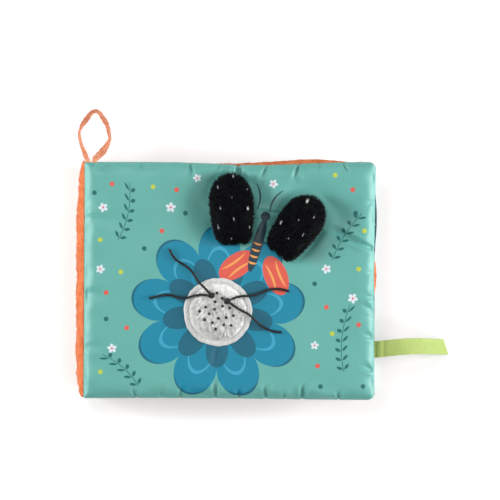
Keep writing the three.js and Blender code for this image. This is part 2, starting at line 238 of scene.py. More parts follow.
# %% [markdown]
# Most pieces are lofts, which join rings of points into a closed skin. A sweep is a loft
# whose rings stand across a path, as a cord or a strap does. An eased step from 0 to 1
# keeps the joins in a shape soft. All of them work on whole arrays of points, because a
# Python loop over every point would be slow.


# %% Lofts and sweeps
def unit(vectors):
    vectors = np.asarray(vectors, float)
    size = np.linalg.norm(vectors, axis=-1, keepdims=True)
    return vectors / np.maximum(size, 1e-12)


def full_turn(count):
    return np.linspace(0, 2 * math.pi, count, endpoint=False)


def loft(rings):
    count, around = rings.shape[:2]
    index = np.arange(count * around).reshape(count, around)
    low, high = index[:-1], index[1:]
    sides = [low, np.roll(low, -1, 1), np.roll(high, -1, 1), high]
    quads = np.stack(sides, -1).reshape(-1, 4).tolist()
    return rings.reshape(-1, 3), [*quads, index[0, ::-1].tolist(), index[-1].tolist()]


def path_frames(path, upright):
    along = unit(np.gradient(path, axis=0))
    side = unit(np.cross(along, upright))
    return side, np.cross(side, along)


def sweep(path, across, lift, upright=(0, 0, 1)):
    """A closed tube; across and lift give each ring's points beside and above the path."""
    side, above = path_frames(path, upright)
    rings = path[:, None] + across[..., None] * side[:, None]
    return loft(rings + lift[..., None] * above[:, None])


print("a loft of 3 rings of 8 points:", len(loft(np.zeros((3, 8, 3)))[1]), "faces")


# %% Steps, routes and joined parts
def smooth_step(share):
    share = np.clip(share, 0, 1)
    return share * share * (3 - 2 * share)


def path_run(path):
    """The length of the path up to each of its points."""
    step = np.linalg.norm(np.diff(path, axis=0), axis=1)
    return np.concatenate([[0], np.cumsum(step)])


def route_through(knots, steps):
    """Points of a smooth curve that passes through all the knots."""
    knots = np.asarray(knots, float)
    first, last = 2 * knots[0] - knots[1], 2 * knots[-1] - knots[-2]
    ends = np.vstack([first, knots, last])
    spots = np.linspace(0, len(knots) - 1, steps)
    span = np.minimum(spots.astype(int), len(knots) - 2)
    t = (spots - span)[:, None]
    a, b, c, d = (ends[span + i] for i in range(4))
    cubic = (3 * b - a - 3 * c + d) * t**3
    return 0.5 * (2 * b + (c - a) * t + (2 * a - 5 * b + 4 * c - d) * t**2 + cubic)


def join_parts(parts):
    """Several sets of points and faces as one."""
    points, faces, first = [], [], 0
    for some_points, some_faces in parts:
        points.append(some_points)
        faces += [[first + i for i in face] for face in some_faces]
        first += len(some_points)
    return np.vstack(points), faces


print("a quarter of the way, the eased step is at", smooth_step(0.25))

# %% [markdown]
# The front cover is a stuffed pad: it rises steeply from its seam and is nearly level in
# the middle. Everything sewn to it has to know that height, so it is one function of the
# distance from the seam, with the same numbers as the CAD model.

# %% Height of the front cover
HALF_WIDTH = 100.0
HALF_HEIGHT = 80.0
SPINE_EDGE = -99.7
RISE = 4.5
SEAM_LIP = 0.15
FRONT_SHOULDER = 14.0
FRONT_CROWN = 2.0
SOFT_GAP = 0.3


def crowned(depth, shoulder, crown):
    slope = np.clip(1 - depth / shoulder, 0, 1)
    swell = 1 - (1 - np.clip(depth / HALF_HEIGHT, 0, 1)) ** 2
    return SEAM_LIP + (RISE - SEAM_LIP) * np.sqrt(1 - slope**2) + crown * swell


def front_rise(x, y):
    inside = np.minimum(x - SPINE_EDGE, HALF_WIDTH - x)
    depth = np.minimum(inside, HALF_HEIGHT - np.abs(y))
    return crowned(depth, FRONT_SHOULDER, FRONT_CROWN)


print("front cover's top:", round(FRONT_SEAM + float(front_rise(0.0, 0.0)), 2), "mm")

# %% [markdown]
# Four waxed cords are sewn to the cover in pairs and lie loose on it, with their ends
# cut bare. Their routes repeat the CAD model's points, and their height follows the
# stuffed cover and the plush patch under them. A plain curve with a bevel would be a
# smooth pipe, so each cord is a tube whose section swells where braided strands cross.

# %% Bed of the cords
PATCH = (-7.9, -21.3)
PATCH_RADIUS = 23.3
PATCH_MARGIN = 4.0
PILE_HEIGHT = 2.4
CORD_REACH_OUT = 12.0


def cord_bed(x, y):
    beyond = np.hypot(x - PATCH[0], y - PATCH[1]) - (PATCH_RADIUS - PATCH_MARGIN)
    share = np.clip(1 - beyond / CORD_REACH_OUT, 0, 1)
    return front_rise(x, y) + PILE_HEIGHT * share + SOFT_GAP


print("cords on the patch lie", round(float(cord_bed(*PATCH)), 2), "mm above the seam")

# %% Cord finish
WAX_GRAIN = 0.6
WAX_BUMP = 0.05
waxed_cord, tree, shader = start_finish(
    "waxed_cord", roughness=0.5, gloss=0.5, sheen=0.15, sheen_colour="#8A8F98")
worn = grain(tree, own_place(tree), WAX_GRAIN)
tone = lay_over(tree, worn, shade("#08080A"), shade("#1E1D1F"))
plug(tree, shader.inputs["Base Color"], tone)
add_bump(tree, shader, worn, WAX_BUMP)
print("finish:", waxed_cord.name)

# %% Cords
CORD_WIDTH = 1.7
CORD_SIDES = 18
CORD_STEPS = 180
BRAID_PITCH = 6.6
BRAID_STRANDS = 3
BRAID_CORE = 0.93
BRAID_SWELL = 0.08
CORD_ROUTES = [
    [(-14.2, -7.6), (-17.2, -4.4), (-20.4, -1.4), (-23, 2.2), (-25.4, 6.1),
     (-28.6, 9.3), (-32.4, 11.8), (-36.2, 14.2), (-39, 17.7), (-41, 21.7)],
    [(-15.2, -9.9), (-19.3, -9.4), (-23.8, -10.1), (-28.2, -11.3), (-32.7, -11.6),
     (-37.1, -10.6), (-41.5, -9.5), (-46, -9.8), (-50.4, -10.9), (-54.8, -12)],
    [(1.3, -12.5), (5.3, -11), (9.8, -10.3), (14.3, -10.2), (18.8, -9.2),
     (23, -7.4), (27.3, -5.9), (31.8, -5.4), (36.3, -5.9), (40.6, -7.2)],
    [(1.1, -15.4), (4.6, -18.1), (8.4, -20.2), (12.4, -22.3), (15.9, -25.2),
     (19, -28.5), (22.6, -31.2), (26.6, -33.3), (30.9, -34.6), (35.4, -35)],
]


def braided(path, width, upright=(0, 0, 1)):
    run = path_run(path)[:, None] * 2 * math.pi / BRAID_PITCH
    turn = full_turn(CORD_SIDES)[None]
    over = np.cos(BRAID_STRANDS * turn + BRAID_STRANDS * run)
    under = np.cos(BRAID_STRANDS * turn - BRAID_STRANDS * run)
    radius = width / 2 * (BRAID_CORE + BRAID_SWELL * np.maximum(over, under))
    return sweep(path, radius * np.cos(turn), radius * np.sin(turn), upright)


for number, route in enumerate(CORD_ROUTES, 1):
    flat_route = np.array(route, float)
    heights = FRONT_SEAM + cord_bed(*flat_route.T) + CORD_WIDTH / 2
    path = route_through(np.column_stack([flat_route, heights]), CORD_STEPS)
    cord = add_piece(f"braided_cord_{number}", *braided(path, CORD_WIDTH), [waxed_cord],
                     "front_cover", "black_cord")
    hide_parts(f"cord_{number}")

# %% [markdown]
# Where a pair of cords is sewn down, the same cord is wound round both of them. A knot
# is therefore one short braided tube on a flattened spiral, not a ball, and the two cords
# run on into it.

# %% Winding of a knot
WIND_TURNS = 3.4
WIND_WIDTH = 1.35
WIND_REACH = (3.4, 1.35, 0.75)
WIND_STEPS = 150
WIND_TUCK = 0.1
WIND_LIFT = 1.2


def wound_knot(x, y, direction):
    share = np.linspace(0, 1, WIND_STEPS)
    turn = 2 * math.pi * WIND_TURNS * share
    aim = math.radians(direction)
    forward = np.array([math.cos(aim), math.sin(aim), 0])
    aside = np.array([-math.sin(aim), math.cos(aim), 0])
    tuck = smooth_step(np.minimum(share, 1 - share) / WIND_TUCK)
    middle = np.array([x, y, FRONT_SEAM + cord_bed(x, y) + WIND_LIFT])
    path = middle + np.outer(WIND_REACH[0] * (share - 0.5), forward)
    path += np.outer(WIND_REACH[1] * tuck * np.cos(turn), aside)
    path += np.outer(WIND_REACH[2] * tuck * np.sin(turn), (0, 0, 1))
    return braided(path, WIND_WIDTH, forward)


print("a knot has", WIND_TURNS, "turns")

# %% Knots
KNOTS = {
    # place, direction of the winding, numbers of the cords it holds
    "cord_knot_left": (-12.1, -9.9, 160.0, (1, 2)),
    "cord_knot_right": (-1.6, -13.8, -8.0, (3, 4)),
}
END_MIX = (0.45, 0.55)
END_LIFTS = np.array([1.2, 1.2, 0.5])
END_STEPS = 30


def cord_end_in_knot(x, y, number):
    """The short stretch of a cord between its knot and the place where it lies free."""
    free_x, free_y = CORD_ROUTES[number - 1][0]
    halfway = (END_MIX[0] * x + END_MIX[1] * free_x, END_MIX[0] * y + END_MIX[1] * free_y)
    flat_route = np.array([(x, y), halfway, (free_x, free_y)])
    heights = FRONT_SEAM + cord_bed(*flat_route.T) + END_LIFTS * CORD_WIDTH
    path = route_through(np.column_stack([flat_route, heights]), END_STEPS)
    return braided(path, CORD_WIDTH)


for name, (x, y, direction, held) in KNOTS.items():
    parts = [wound_knot(x, y, direction)]
    parts += [cord_end_in_knot(x, y, number) for number in held]
    points, faces = join_parts(parts)
    knot = add_piece(f"wound_{name}", points, faces, [waxed_cord], "front_cover", "black_cord")
    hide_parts(name)

# %% [markdown]
# The studio starts with a pale paper floor. Its own colour is nearly white, and a little
# light of its own, seen only by the camera and in reflections, takes it up to paper
# white, so no lamp has to burn out the album. The album's shadow stays.

# %% Floor
FLOOR_HALF = 3.0
FLOOR_DROP = 0.2
FLOOR_GLOW = 0.26
FLOOR_MOTTLE = 40.0
paper, tree, shader = start_finish("paper_floor", roughness=0.9, gloss=0.1)
seen = node(tree, "LightPath").node
rays = calc(tree, "MAXIMUM", seen.outputs["Is Camera Ray"], seen.outputs["Is Glossy Ray"])
rays = calc(tree, "MAXIMUM", rays, seen.outputs["Is Transmission Ray"])
mottle = grain(tree, own_place(tree), FLOOR_MOTTLE)
tone = lay_over(tree, mottle, shade("#F3F3F3"), shade("#F6F6F6"))
plug(tree, shader.inputs["Base Color"], tone)
shader.inputs["Emission Color"].default_value = (1, 1, 1, 1)
plug(tree, shader.inputs["Emission Strength"], calc(tree, "MULTIPLY", rays, FLOOR_GLOW))
floor_mesh = bpy.data.meshes.new("floor")
corners = [(-1, -1), (1, -1), (1, 1), (-1, 1)]
floor_points = [(FLOOR_HALF * x, FLOOR_HALF * y, -FLOOR_DROP * MM) for x, y in corners]
floor_mesh.from_pydata(floor_points, [], [(0, 1, 2, 3)])
floor_mesh.materials.append(paper)
floor = bpy.data.objects.new("floor", floor_mesh)
scene.collection.objects.link(floor)
print("floor:", 2 * FLOOR_HALF, "m wide")

# %% [markdown]
# Two low lamps at the sides rake over the cover, so that every pucker has a bright and a
# dark flank, as in the photograph. Two high, weaker ones and an even sky fill the shade.

# %% Lamps
LAMPS = {
    # place in metres, side of the square lamp in metres, power in watts
    "left_softbox": ((-1.3, 0.15, 0.46), 0.55, 16.0),
    "head_softbox": ((-0.4, 0.6, 1.2), 0.6, 5.2),
    "tail_softbox": ((0.45, -0.55, 1.2), 0.6, 4.0),
    "right_softbox": ((1.3, 0.05, 0.42), 0.5, 19.0),
}
for name, (spot, size, power) in LAMPS.items():
    lamp_data = bpy.data.lights.new(name, "AREA")
    lamp_data.size = size
    lamp_data.energy = power
    lamp = bpy.data.objects.new(name, lamp_data)
    lamp.location = spot
    aim = -lamp.location.normalized()
    lamp.rotation_euler = aim.to_track_quat("-Z", "Y").to_euler()
    scene.collection.objects.link(lamp)
print("lamps:", len(LAMPS))

# %% Sky
AMBIENT = 0.14
world = bpy.data.worlds.new("studio")
world.use_nodes = True
scene.world = world
tree = world.node_tree
sky = tree.nodes["Background"]
sky.inputs["Color"].default_value = (1, 1, 1, 1)
seen = node(tree, "LightPath").node
rays = calc(tree, "MAXIMUM", seen.outputs["Is Camera Ray"], seen.outputs["Is Transmission Ray"])
plug(tree, sky.inputs["Strength"], calc(tree, "MAXIMUM", rays, AMBIENT))
print("sky:", AMBIENT)

# %% [markdown]
# The cover is printed satin. The print could be painted on a picture, but a picture is
# tied to its pixels, so each motif is a formula: how far a point lies inside a petal, a
# leaf or a dot. A point's place is its place on the flat cloth, kept as an attribute, so
# the print follows every fold. Three formulas are made as node groups and used often.

# %% Start a motif group
EDGE_BLUR = 0.25


def start_group(name, vectors, numbers):
    group = bpy.data.node_groups.new(name, "ShaderNodeTree")
    for title in vectors:
        group.interface.new_socket(title, in_out="INPUT", socket_type="NodeSocketVector")
    for title in numbers:
        group.interface.new_socket(title, in_out="INPUT", socket_type="NodeSocketFloat")
    group.interface.new_socket("Mask", in_out="OUTPUT", socket_type="NodeSocketFloat")
    given = group.nodes.new("NodeGroupInput").outputs
    result = group.nodes.new("NodeGroupOutput").inputs["Mask"]
    return group, given, result, partial(calc, group)


def split_offset(tree, place, centre):
    offset = node(tree, "VectorMath", {0: place, 1: centre}, operation="SUBTRACT")
    return offset, node(tree, "SeparateXYZ", {0: offset}).node.outputs


def soft_edge(tree, inside):
    return calc(tree, "MULTIPLY", inside, 1 / EDGE_BLUR, clamp=True)


def turned_place(tree, place, centre, turn):
    parts = split_offset(tree, place, centre)[1]
    cosine, sine = calc(tree, "COSINE", turn), calc(tree, "SINE", turn)
    rise = calc(tree, "MULTIPLY", parts[1], sine)
    along = calc(tree, "MULTIPLY_ADD", parts[0], cosine, rise)
    back = calc(tree, "MULTIPLY", parts[0], sine)
    return along, calc(tree, "SUBTRACT", calc(tree, "MULTIPLY", parts[1], cosine), back)


def bent_aside(work, along, aside, bend):
    """How far a point lies beside a line that bends as a parabola."""
    bent = work("MULTIPLY", work("MULTIPLY", along, along), bend)
    return work("ABSOLUTE", work("SUBTRACT", aside, bent))


print("edges of the print are", EDGE_BLUR, "mm soft")

# %% [markdown]
# The first group is a ring of round petals. The reach of its edge swells and shrinks
# round the centre with the root of a cosine, which makes full lobes and sharp notches.

# %% Ring of petals
petal_group, given, result, work = start_group(
    "petal_ring", ["Place", "Centre"], ["Radius", "Half Petals", "Notch", "Turn"])
offset, parts = split_offset(petal_group, given["Place"], given["Centre"])
reach = node(petal_group, "VectorMath", {0: offset}, operation="LENGTH").node.outputs["Value"]
angle = work("SUBTRACT", work("ARCTAN2", parts[1], parts[0]), given["Turn"])
wave = work("COSINE", work("MULTIPLY", angle, given["Half Petals"]))
lobe = work("SQRT", work("ABSOLUTE", wave))
notched = work("MULTIPLY", work("SUBTRACT", 1.0, lobe), given["Notch"])
edge = work("MULTIPLY", given["Radius"], work("SUBTRACT", 1.0, notched))
plug(petal_group, result, soft_edge(petal_group, work("SUBTRACT", edge, reach)))
print("petal ring:", len(petal_group.nodes), "nodes")

# %% [markdown]
# The second is one leaf, whose half width follows a power of what is left towards its
# two tips. With other numbers it also makes a wing, a vein or a feeler.

# %% Single leaf
leaf_group, given, result, work = start_group(
    "single_leaf", ["Place", "Centre"],
    ["Turn", "Half Length", "Half Width", "Roundness", "Bend"])
along, aside = turned_place(leaf_group, given["Place"], given["Centre"], given["Turn"])
aside = bent_aside(work, along, aside, given["Bend"])
share = work("DIVIDE", along, given["Half Length"])
left_over = work("SUBTRACT", 1.0, work("MULTIPLY", share, share), clamp=True)
width = work("MULTIPLY", given["Half Width"], work("POWER", left_over, given["Roundness"]))
plug(leaf_group, result, soft_edge(leaf_group, work("SUBTRACT", width, aside)))
print("single leaf:", len(leaf_group.nodes), "nodes")

# %% [markdown]
# The third is a sprig: a bent stem with a pair of slanting leaves in each stretch of its
# length. The remainder of a division repeats one pair along the whole stem.

# %% Leafy sprig
SLANT = (0.6, 0.8)
LEAFLET_MIDDLE = 2.5
LEAFLET_LENGTH = 2.6
LEAFLET_WIDTH = 1.15
STEM_HALF = 0.4
sprig_group, given, result, work = start_group(
    "leafy_sprig", ["Place", "Root"], ["Turn", "Length", "Pitch", "Bend"])
along, aside = turned_place(sprig_group, given["Place"], given["Root"], given["Turn"])
aside = bent_aside(work, along, aside, given["Bend"])
cell = work("FRACT", work("DIVIDE", along, given["Pitch"]))
step = work("MULTIPLY", work("SUBTRACT", cell, 0.5), given["Pitch"])
from_middle = work("SUBTRACT", aside, LEAFLET_MIDDLE)
leaf_run = work("ADD", work("MULTIPLY", step, SLANT[0]), work("MULTIPLY", from_middle, SLANT[1]))
leaf_side = work("SUBTRACT", work("MULTIPLY", step, SLANT[1]),
                 work("MULTIPLY", from_middle, SLANT[0]))
leaf_run = work("DIVIDE", leaf_run, LEAFLET_LENGTH)
left_over = work("SUBTRACT", 1.0, work("MULTIPLY", leaf_run, leaf_run))
width = work("MULTIPLY", left_over, LEAFLET_WIDTH)
in_leaf = work("SUBTRACT", width, work("ABSOLUTE", leaf_side))
inside = work("MAXIMUM", in_leaf, work("SUBTRACT", STEM_HALF, aside))
inside = work("MINIMUM", inside, along)
inside = work("MINIMUM", inside, work("SUBTRACT", given["Length"], along))
plug(sprig_group, result, soft_edge(sprig_group, inside))
print("motif groups:", [group.name for group in bpy.data.node_groups])

# %% [markdown]
# The design is a generic one in the cover's colours: a large blue flower round the white
# patch, a moth between the two plush flaps, sprigs, small blossoms and confetti. Inks
# are laid from the bottom layer to the top one, as a screen printer does. Each print
# function takes the colour so far and gives it back with one more motif on it.

# %% Inks and motifs
BLUE, DEEP_BLUE, SKY = "#0086A4", "#08647C", "#38A2C4"
PALE, CORAL, LIME, FOREST = "#DCE5EC", "#DF5B4C", "#BBCC46", "#0E6664"
INK, AMBER = "#1F3D4A", "#F2A65A"


def motif(tree, group, place, colour, paint, *values):
    made = tree.nodes.new("ShaderNodeGroup")
    made.node_tree = group
    tree.links.new(place, made.inputs["Place"])
    for socket, value in zip(list(made.inputs)[1:], values):
        socket.default_value = value
    return lay_over(tree, made.outputs[0], colour, shade(paint))


print("inks:", BLUE, DEEP_BLUE, SKY, PALE, CORAL, LIME, FOREST, INK, AMBER)

# %% Confetti and blossoms
FRONT_DOTS = {
    CORAL: [(-80, 66), (-46, 34), (-84, -8), (-70, -32), (66, -18), (84, 62), (60, -58),
            (-36, 62), (88, -30)],
    LIME: [(-52, 64), (-88, 28), (-74, 6), (-60, -20), (92, 34), (70, -36), (88, 8),
           (-88, -62), (72, 72)],
    FOREST: [(-92, 60), (-58, 22), (-84, -26), (58, -2), (91, -72), (86, 46), (-30, 46),
             (62, -72)],
}
FRONT_BLOSSOMS = [
    # x, y, radius
    (-40, 50, 3.6), (-86, 50, 3.4), (-88, 8, 3.2), (66, 8, 3.4), (84, -12, 3.6),
    (58, -44, 3.0), (-80, -46, 3.4), (30, 66, 3.2), (-22, 70, 3.0),
]
DOT_RADIUS = 1.75
FAR_OFF = 1000.0
BLOSSOM_HALF_PETALS = 2.5
BLOSSOM_NOTCH = 0.75
BLOSSOM_MIDDLE = 0.24


def print_dots(tree, place, colour, dots):
    for paint, spots in dots.items():
        nearest = FAR_OFF
        for x, y in spots:
            inputs = {0: place, 1: (x, y, 0)}
            gap = node(tree, "VectorMath", inputs, operation="DISTANCE").node.outputs["Value"]
            nearest = calc(tree, "MINIMUM", gap, nearest)
        mask = soft_edge(tree, calc(tree, "SUBTRACT", DOT_RADIUS, nearest))
        colour = lay_over(tree, mask, colour, shade(paint))
    return colour


def print_blossoms(tree, place, colour, blossoms):
    petals = (BLOSSOM_HALF_PETALS, BLOSSOM_NOTCH)
    for x, y, radius in blossoms:
        spot = (x, y, 0)
        colour = motif(tree, petal_group, place, colour, PALE, spot, radius, *petals, x)
        middle = BLOSSOM_MIDDLE * radius
        colour = motif(tree, petal_group, place, colour, CORAL, spot, middle, 0, 0, 0)
    return colour


print("dots:", sum(map(len, FRONT_DOTS.values())), "blossoms:", len(FRONT_BLOSSOMS))

# %% Sprigs and the large flower
SPRIG_PITCH = 6.2
FRONT_SPRIGS = [
    # x, y; direction; pairs of leaves; bend
    (-76, 28, 58, 6, 0.010), (78, -62, 104, 7, -0.008),
    (-62, -72, 118, 5, 0.012), (70, 14, 70, 6, -0.006),
]
FLOWER_HALF_PETALS = 4.5
FLOWER_LAYERS = [
    # ink, radius, notch, turn
    (DEEP_BLUE, 60.0, 0.4, 0.15), (BLUE, 58.2, 0.34, 0.15), (SKY, 45.0, 0.75, 0.15),
    (BLUE, 42.5, 0.75, 0.15), (DEEP_BLUE, 38.0, 0.6, 0.5),
]


def print_sprigs(tree, place, colour):
    for x, y, turn, pairs, bend in FRONT_SPRIGS:
        colour = motif(tree, sprig_group, place, colour, FOREST, (x, y, 0),
                       math.radians(turn), pairs * SPRIG_PITCH, SPRIG_PITCH, bend)
    return colour


def print_flower(tree, place, colour):
    for ink, radius, notch, turn in FLOWER_LAYERS:
        colour = motif(tree, petal_group, place, colour, ink, (*PATCH, 0), radius,
                       FLOWER_HALF_PETALS, notch, turn)
    return colour


print("sprigs:", len(FRONT_SPRIGS), "layers of the flower:", len(FLOWER_LAYERS))

# %% [markdown]
# The two plush flaps stand like the upper wings of a moth, so its lower wings, body and
# feelers are printed between them. Wings, veins, stripes and feelers are all leaves of
# the second group, long or short, straight or bent.

# %% Moth
MOTH_LEAN = math.radians(73.7)
WINGS = [(5, 10.5, 35), (31.5, 3.5, -68)]
WING_SIZE = (14, 8, 0.5)
VEINS = [(-2.6, -0.012), (2.6, 0.012)]
VEIN_SIZE = (0.72 * 14, 0.9, 0.6)
FEELERS = [(30.0, 55.0, -0.25, -0.03), (21.0, 57.5, 0.3, 0.03)]
FEELER_SIZE = (9, 0.7, 0.3)
MOTH_BODY = (19, 24.5)
BODY_SIZE = (19, 3.7, 0.42)
MOTH_HEAD = (24.6, 44.0, 0)
HEAD_RADIUS = 3.4
STRIPES = (-13, -8.5, -4, 0.5)
STRIPE_SIZE = (3.1, 0.85, 0.5)
STRIPE_BEND = -0.06


def print_wings(leaf, colour):
    for x, y, turn in WINGS:
        lean = math.radians(turn)
        colour = leaf(colour, CORAL, (x, y, 0), lean, *WING_SIZE, 0)
        for slip, bend in VEINS:
            vein = (x - slip * math.sin(lean), y + slip * math.cos(lean), 0)
            colour = leaf(colour, AMBER, vein, lean, *VEIN_SIZE, bend)
    return colour


def print_moth(tree, place, colour):
    leaf = partial(motif, tree, leaf_group, place)
    colour = print_wings(leaf, colour)
    for x, y, swing, bend in FEELERS:
        colour = leaf(colour, INK, (x, y, 0), MOTH_LEAN + swing, *FEELER_SIZE, bend)
    colour = leaf(colour, INK, (*MOTH_BODY, 0), MOTH_LEAN, *BODY_SIZE, 0)
    colour = motif(tree, petal_group, place, colour, INK, MOTH_HEAD, HEAD_RADIUS, 0, 0, 0)
    for run in STRIPES:
        spot = (MOTH_BODY[0] + run * math.cos(MOTH_LEAN),
                MOTH_BODY[1] + run * math.sin(MOTH_LEAN), 0)
        across = MOTH_LEAN + math.pi / 2
        colour = leaf(colour, AMBER, spot, across, *STRIPE_SIZE, STRIPE_BEND)
    return colour


print("parts of the moth:", len(WINGS) * 3 + len(FEELERS) + len(STRIPES) + 2)

# %% [markdown]
# The satin under the print is a fine weave with a soft shine. Two wave textures across
# each other make its threads, and a broad noise lets the dye look a little cloudy. The
# back cover, which nobody sees in the photograph, gets plain confetti and blossoms.

# %% Satin
SATIN_CLOUDS = 30.0
WEAVE = {"Scale": 0.55, "Distortion": 0.4}
RIPPLE_SIZE = 9.0
RIPPLE_SHARE = 2.5
SATIN_BUMP = 0.02


def crossed_threads(tree, threads):
    warp = node(tree, "TexWave", threads, bands_direction="X")
    weft = node(tree, "TexWave", threads, bands_direction="Y")
    return calc(tree, "ADD", warp, weft)


def satin_finish(name, draw):
    made, tree, shader = start_finish(name, roughness=0.42, gloss=0.5, sheen=0.2)
    place = node(tree, "Attribute", attribute_name="cloth_place").node.outputs["Vector"]
    cloudy = grain(tree, own_place(tree), SATIN_CLOUDS)
    base = lay_over(tree, cloudy, shade("#5EA9A0"), shade("#69B3A9"))
    plug(tree, shader.inputs["Base Color"], draw(tree, place, base))
    weave = crossed_threads(tree, {"Vector": place, **WEAVE})
    ripple = calc(tree, "MULTIPLY", grain(tree, own_place(tree), RIPPLE_SIZE), RIPPLE_SHARE)
    add_bump(tree, shader, calc(tree, "ADD", weave, ripple), SATIN_BUMP)
    return made


print("threads of the weave:", WEAVE)

# %% Print both covers
BACK_SQUEEZE = (0.9, 0.7)
BACK_DOTS = {paint: [(-y * BACK_SQUEEZE[0], x * BACK_SQUEEZE[1]) for x, y in spots]
             for paint, spots in FRONT_DOTS.items()}
BACK_BLOSSOMS = [(-50, 40, 4.0), (46, -36, 4.0), (10, 30, 3.6), (-12, -48, 3.6), (70, 52, 3.8)]


def draw_front(tree, place, colour):
    colour = print_sprigs(tree, place, colour)
    colour = print_dots(tree, place, colour, FRONT_DOTS)
    colour = print_blossoms(tree, place, colour, FRONT_BLOSSOMS)
    return print_moth(tree, place, print_flower(tree, place, colour))


def draw_back(tree, place, colour):
    colour = print_dots(tree, place, colour, BACK_DOTS)
    return print_blossoms(tree, place, colour, BACK_BLOSSOMS)


front_satin = satin_finish("front_satin", draw_front)
back_satin = satin_finish("back_satin", draw_back)
print("front satin nodes:", len(front_satin.node_tree.nodes))

# %% [markdown]
# A cover is two cloths sewn round their edge and stuffed with wadding. The cut edge is
# laid out first: straight at the spine, drawn in a little on the other sides, with round
# corners at the fore-edge. A grid is then spread between the four sides. Its lines stand
# closer near the seam, where the cloth turns most.

# %% Sides and grid of a pad
EDGE_CROWDING = 0.6


def crowd(count):
    share = np.linspace(0, 1, count)
    return share - EDGE_CROWDING * np.sin(2 * math.pi * share) / (2 * math.pi)


def pad_side(shares, start, end, inward, radii, draw_in):
    """Points from one sharp corner to the next, round at both ends, drawn in between."""
    start, end, inward = (np.array(v, float) for v in (start, end, inward))
    length = np.linalg.norm(end - start)
    forward = (end - start) / length
    run = shares * length
    points = start + np.outer(run, forward) + np.outer(draw_in, inward)
    both_ends = ((start, 1, run, radii[0]), (end, -1, length - run, radii[1]))
    for corner, sign, gap, radius in both_ends:
        near = gap < radius
        lean = (1 - gap[near] / radius) * math.pi / 4
        middle = corner + radius * (sign * forward + inward)
        points[near] = middle - radius * (np.outer(np.cos(lean), inward)
                                          + np.outer(np.sin(lean) * sign, forward))
    return points


def spread_grid(bottom, top, left, right, shares_x, shares_y):
    u, v = shares_x[None, :, None], shares_y[:, None, None]
    upward = (1 - v) * bottom[None] + v * top[None]
    onward = (1 - u) * left[:, None] + u * right[:, None]
    lower = (1 - u) * bottom[0] + u * bottom[-1]
    upper = (1 - u) * top[0] + u * top[-1]
    return upward + onward - (1 - v) * lower - v * upper


print("first steps of a crowded line:", crowd(121)[:3].round(4))

# %% Plan of a cover
FORE_CORNER = 5.0
SPINE_CORNER = 1.5
EVEN_CORNERS = [(SPINE_EDGE, -HALF_HEIGHT), (HALF_WIDTH, -HALF_HEIGHT),
                (HALF_WIDTH, HALF_HEIGHT), (SPINE_EDGE, HALF_HEIGHT)]
FRONT_CORNERS = [(-99.7, -80.2), (99.0, -81.4), (100.0, 81.2), (-98.9, 81.2)]
DEPTH_SHARPNESS = 6


def cover_plan(columns, rows, corners, tail, head, fore):
    """A grid over one cover; tail, head and fore say how far each side is drawn in."""
    x, y = crowd(columns), crowd(rows)
    tail_spine, tail_fore, head_fore, head_spine = corners
    mixed = (SPINE_CORNER, FORE_CORNER)
    bottom = pad_side(x, tail_spine, tail_fore, (0, 1), mixed, tail(x))
    top = pad_side(x, head_spine, head_fore, (0, -1), mixed, head(x))
    left = pad_side(y, tail_spine, head_spine, (1, 0), (SPINE_CORNER,) * 2, 0 * y)
    right = pad_side(y, tail_fore, head_fore, (-1, 0), (FORE_CORNER,) * 2, fore(y))
    return spread_grid(bottom, top, left, right, x, y)


def edge_depth(plan):
    """How far each point lies from the cut edge, rounded off towards the corners."""
    sides = (plan[:, :1], plan[:, -1:], plan[:1], plan[-1:])
    gaps = [np.linalg.norm(plan - side, axis=-1) + 1e-9 for side in sides]
    return sum(gap**-DEPTH_SHARPNESS for gap in gaps) ** (-1 / DEPTH_SHARPNESS)


print("front cover's corners:", FRONT_CORNERS)


# %% Sheets
def sheet_faces(rows, columns, first=0):
    index = first + np.arange(rows * columns).reshape(rows, columns)
    corners = [index[:-1, :-1], index[:-1, 1:], index[1:, 1:], index[1:, :-1]]
    return np.stack(corners, -1).reshape(-1, 4).tolist()


def sheet_rim(rows, columns):
    index = np.arange(rows * columns).reshape(rows, columns)
    return np.concatenate([index[0], index[1:, -1], index[-1, -2::-1], index[-2:0:-1, 0]])


def refine(sheet):
    """Twice as many points each way, on a smooth curve through the ones that are there."""
    for axis in (0, 1):
        line = np.moveaxis(sheet, axis, 0)
        ends = np.concatenate([2 * line[:1] - line[1:2], line, 2 * line[-1:] - line[-2:-1]])
        between = (9 * (ends[1:-2] + ends[2:-1]) - ends[:-3] - ends[3:]) / 16
        finer = np.empty((2 * len(line) - 1, *line.shape[1:]))
        finer[::2] = line
        finer[1::2] = between
        sheet = np.moveaxis(finer, 0, axis)
    return sheet


print("a sheet of 3 x 4 points has", len(sheet_faces(3, 4)), "faces")

# %% [markdown]
# Stuffing swells the cloth, and the gathered seam leaves spare cloth that buckles into
# small folds. Blender's cloth solver does both: the points on the seam are pinned,
# pressure acts from below, and the cloth near the seam is told to be a little longer
# than its place. The trial is ten times real size, which suits the solver's settings.

# %% Trial cloth
TRIAL_SCALE = 0.01
TRIAL_FRAMES = 22
CLOTH_SETTINGS = {
    "quality": 6, "mass": 0.02, "air_damping": 2.0, "tension_stiffness": 12,
    "compression_stiffness": 12, "shear_stiffness": 4, "bending_stiffness": 0.02,
    "vertex_group_mass": "hold", "pin_stiffness": 1.0, "vertex_group_shrink": "spare",
    "shrink_min": 0.0, "use_pressure": True,
}


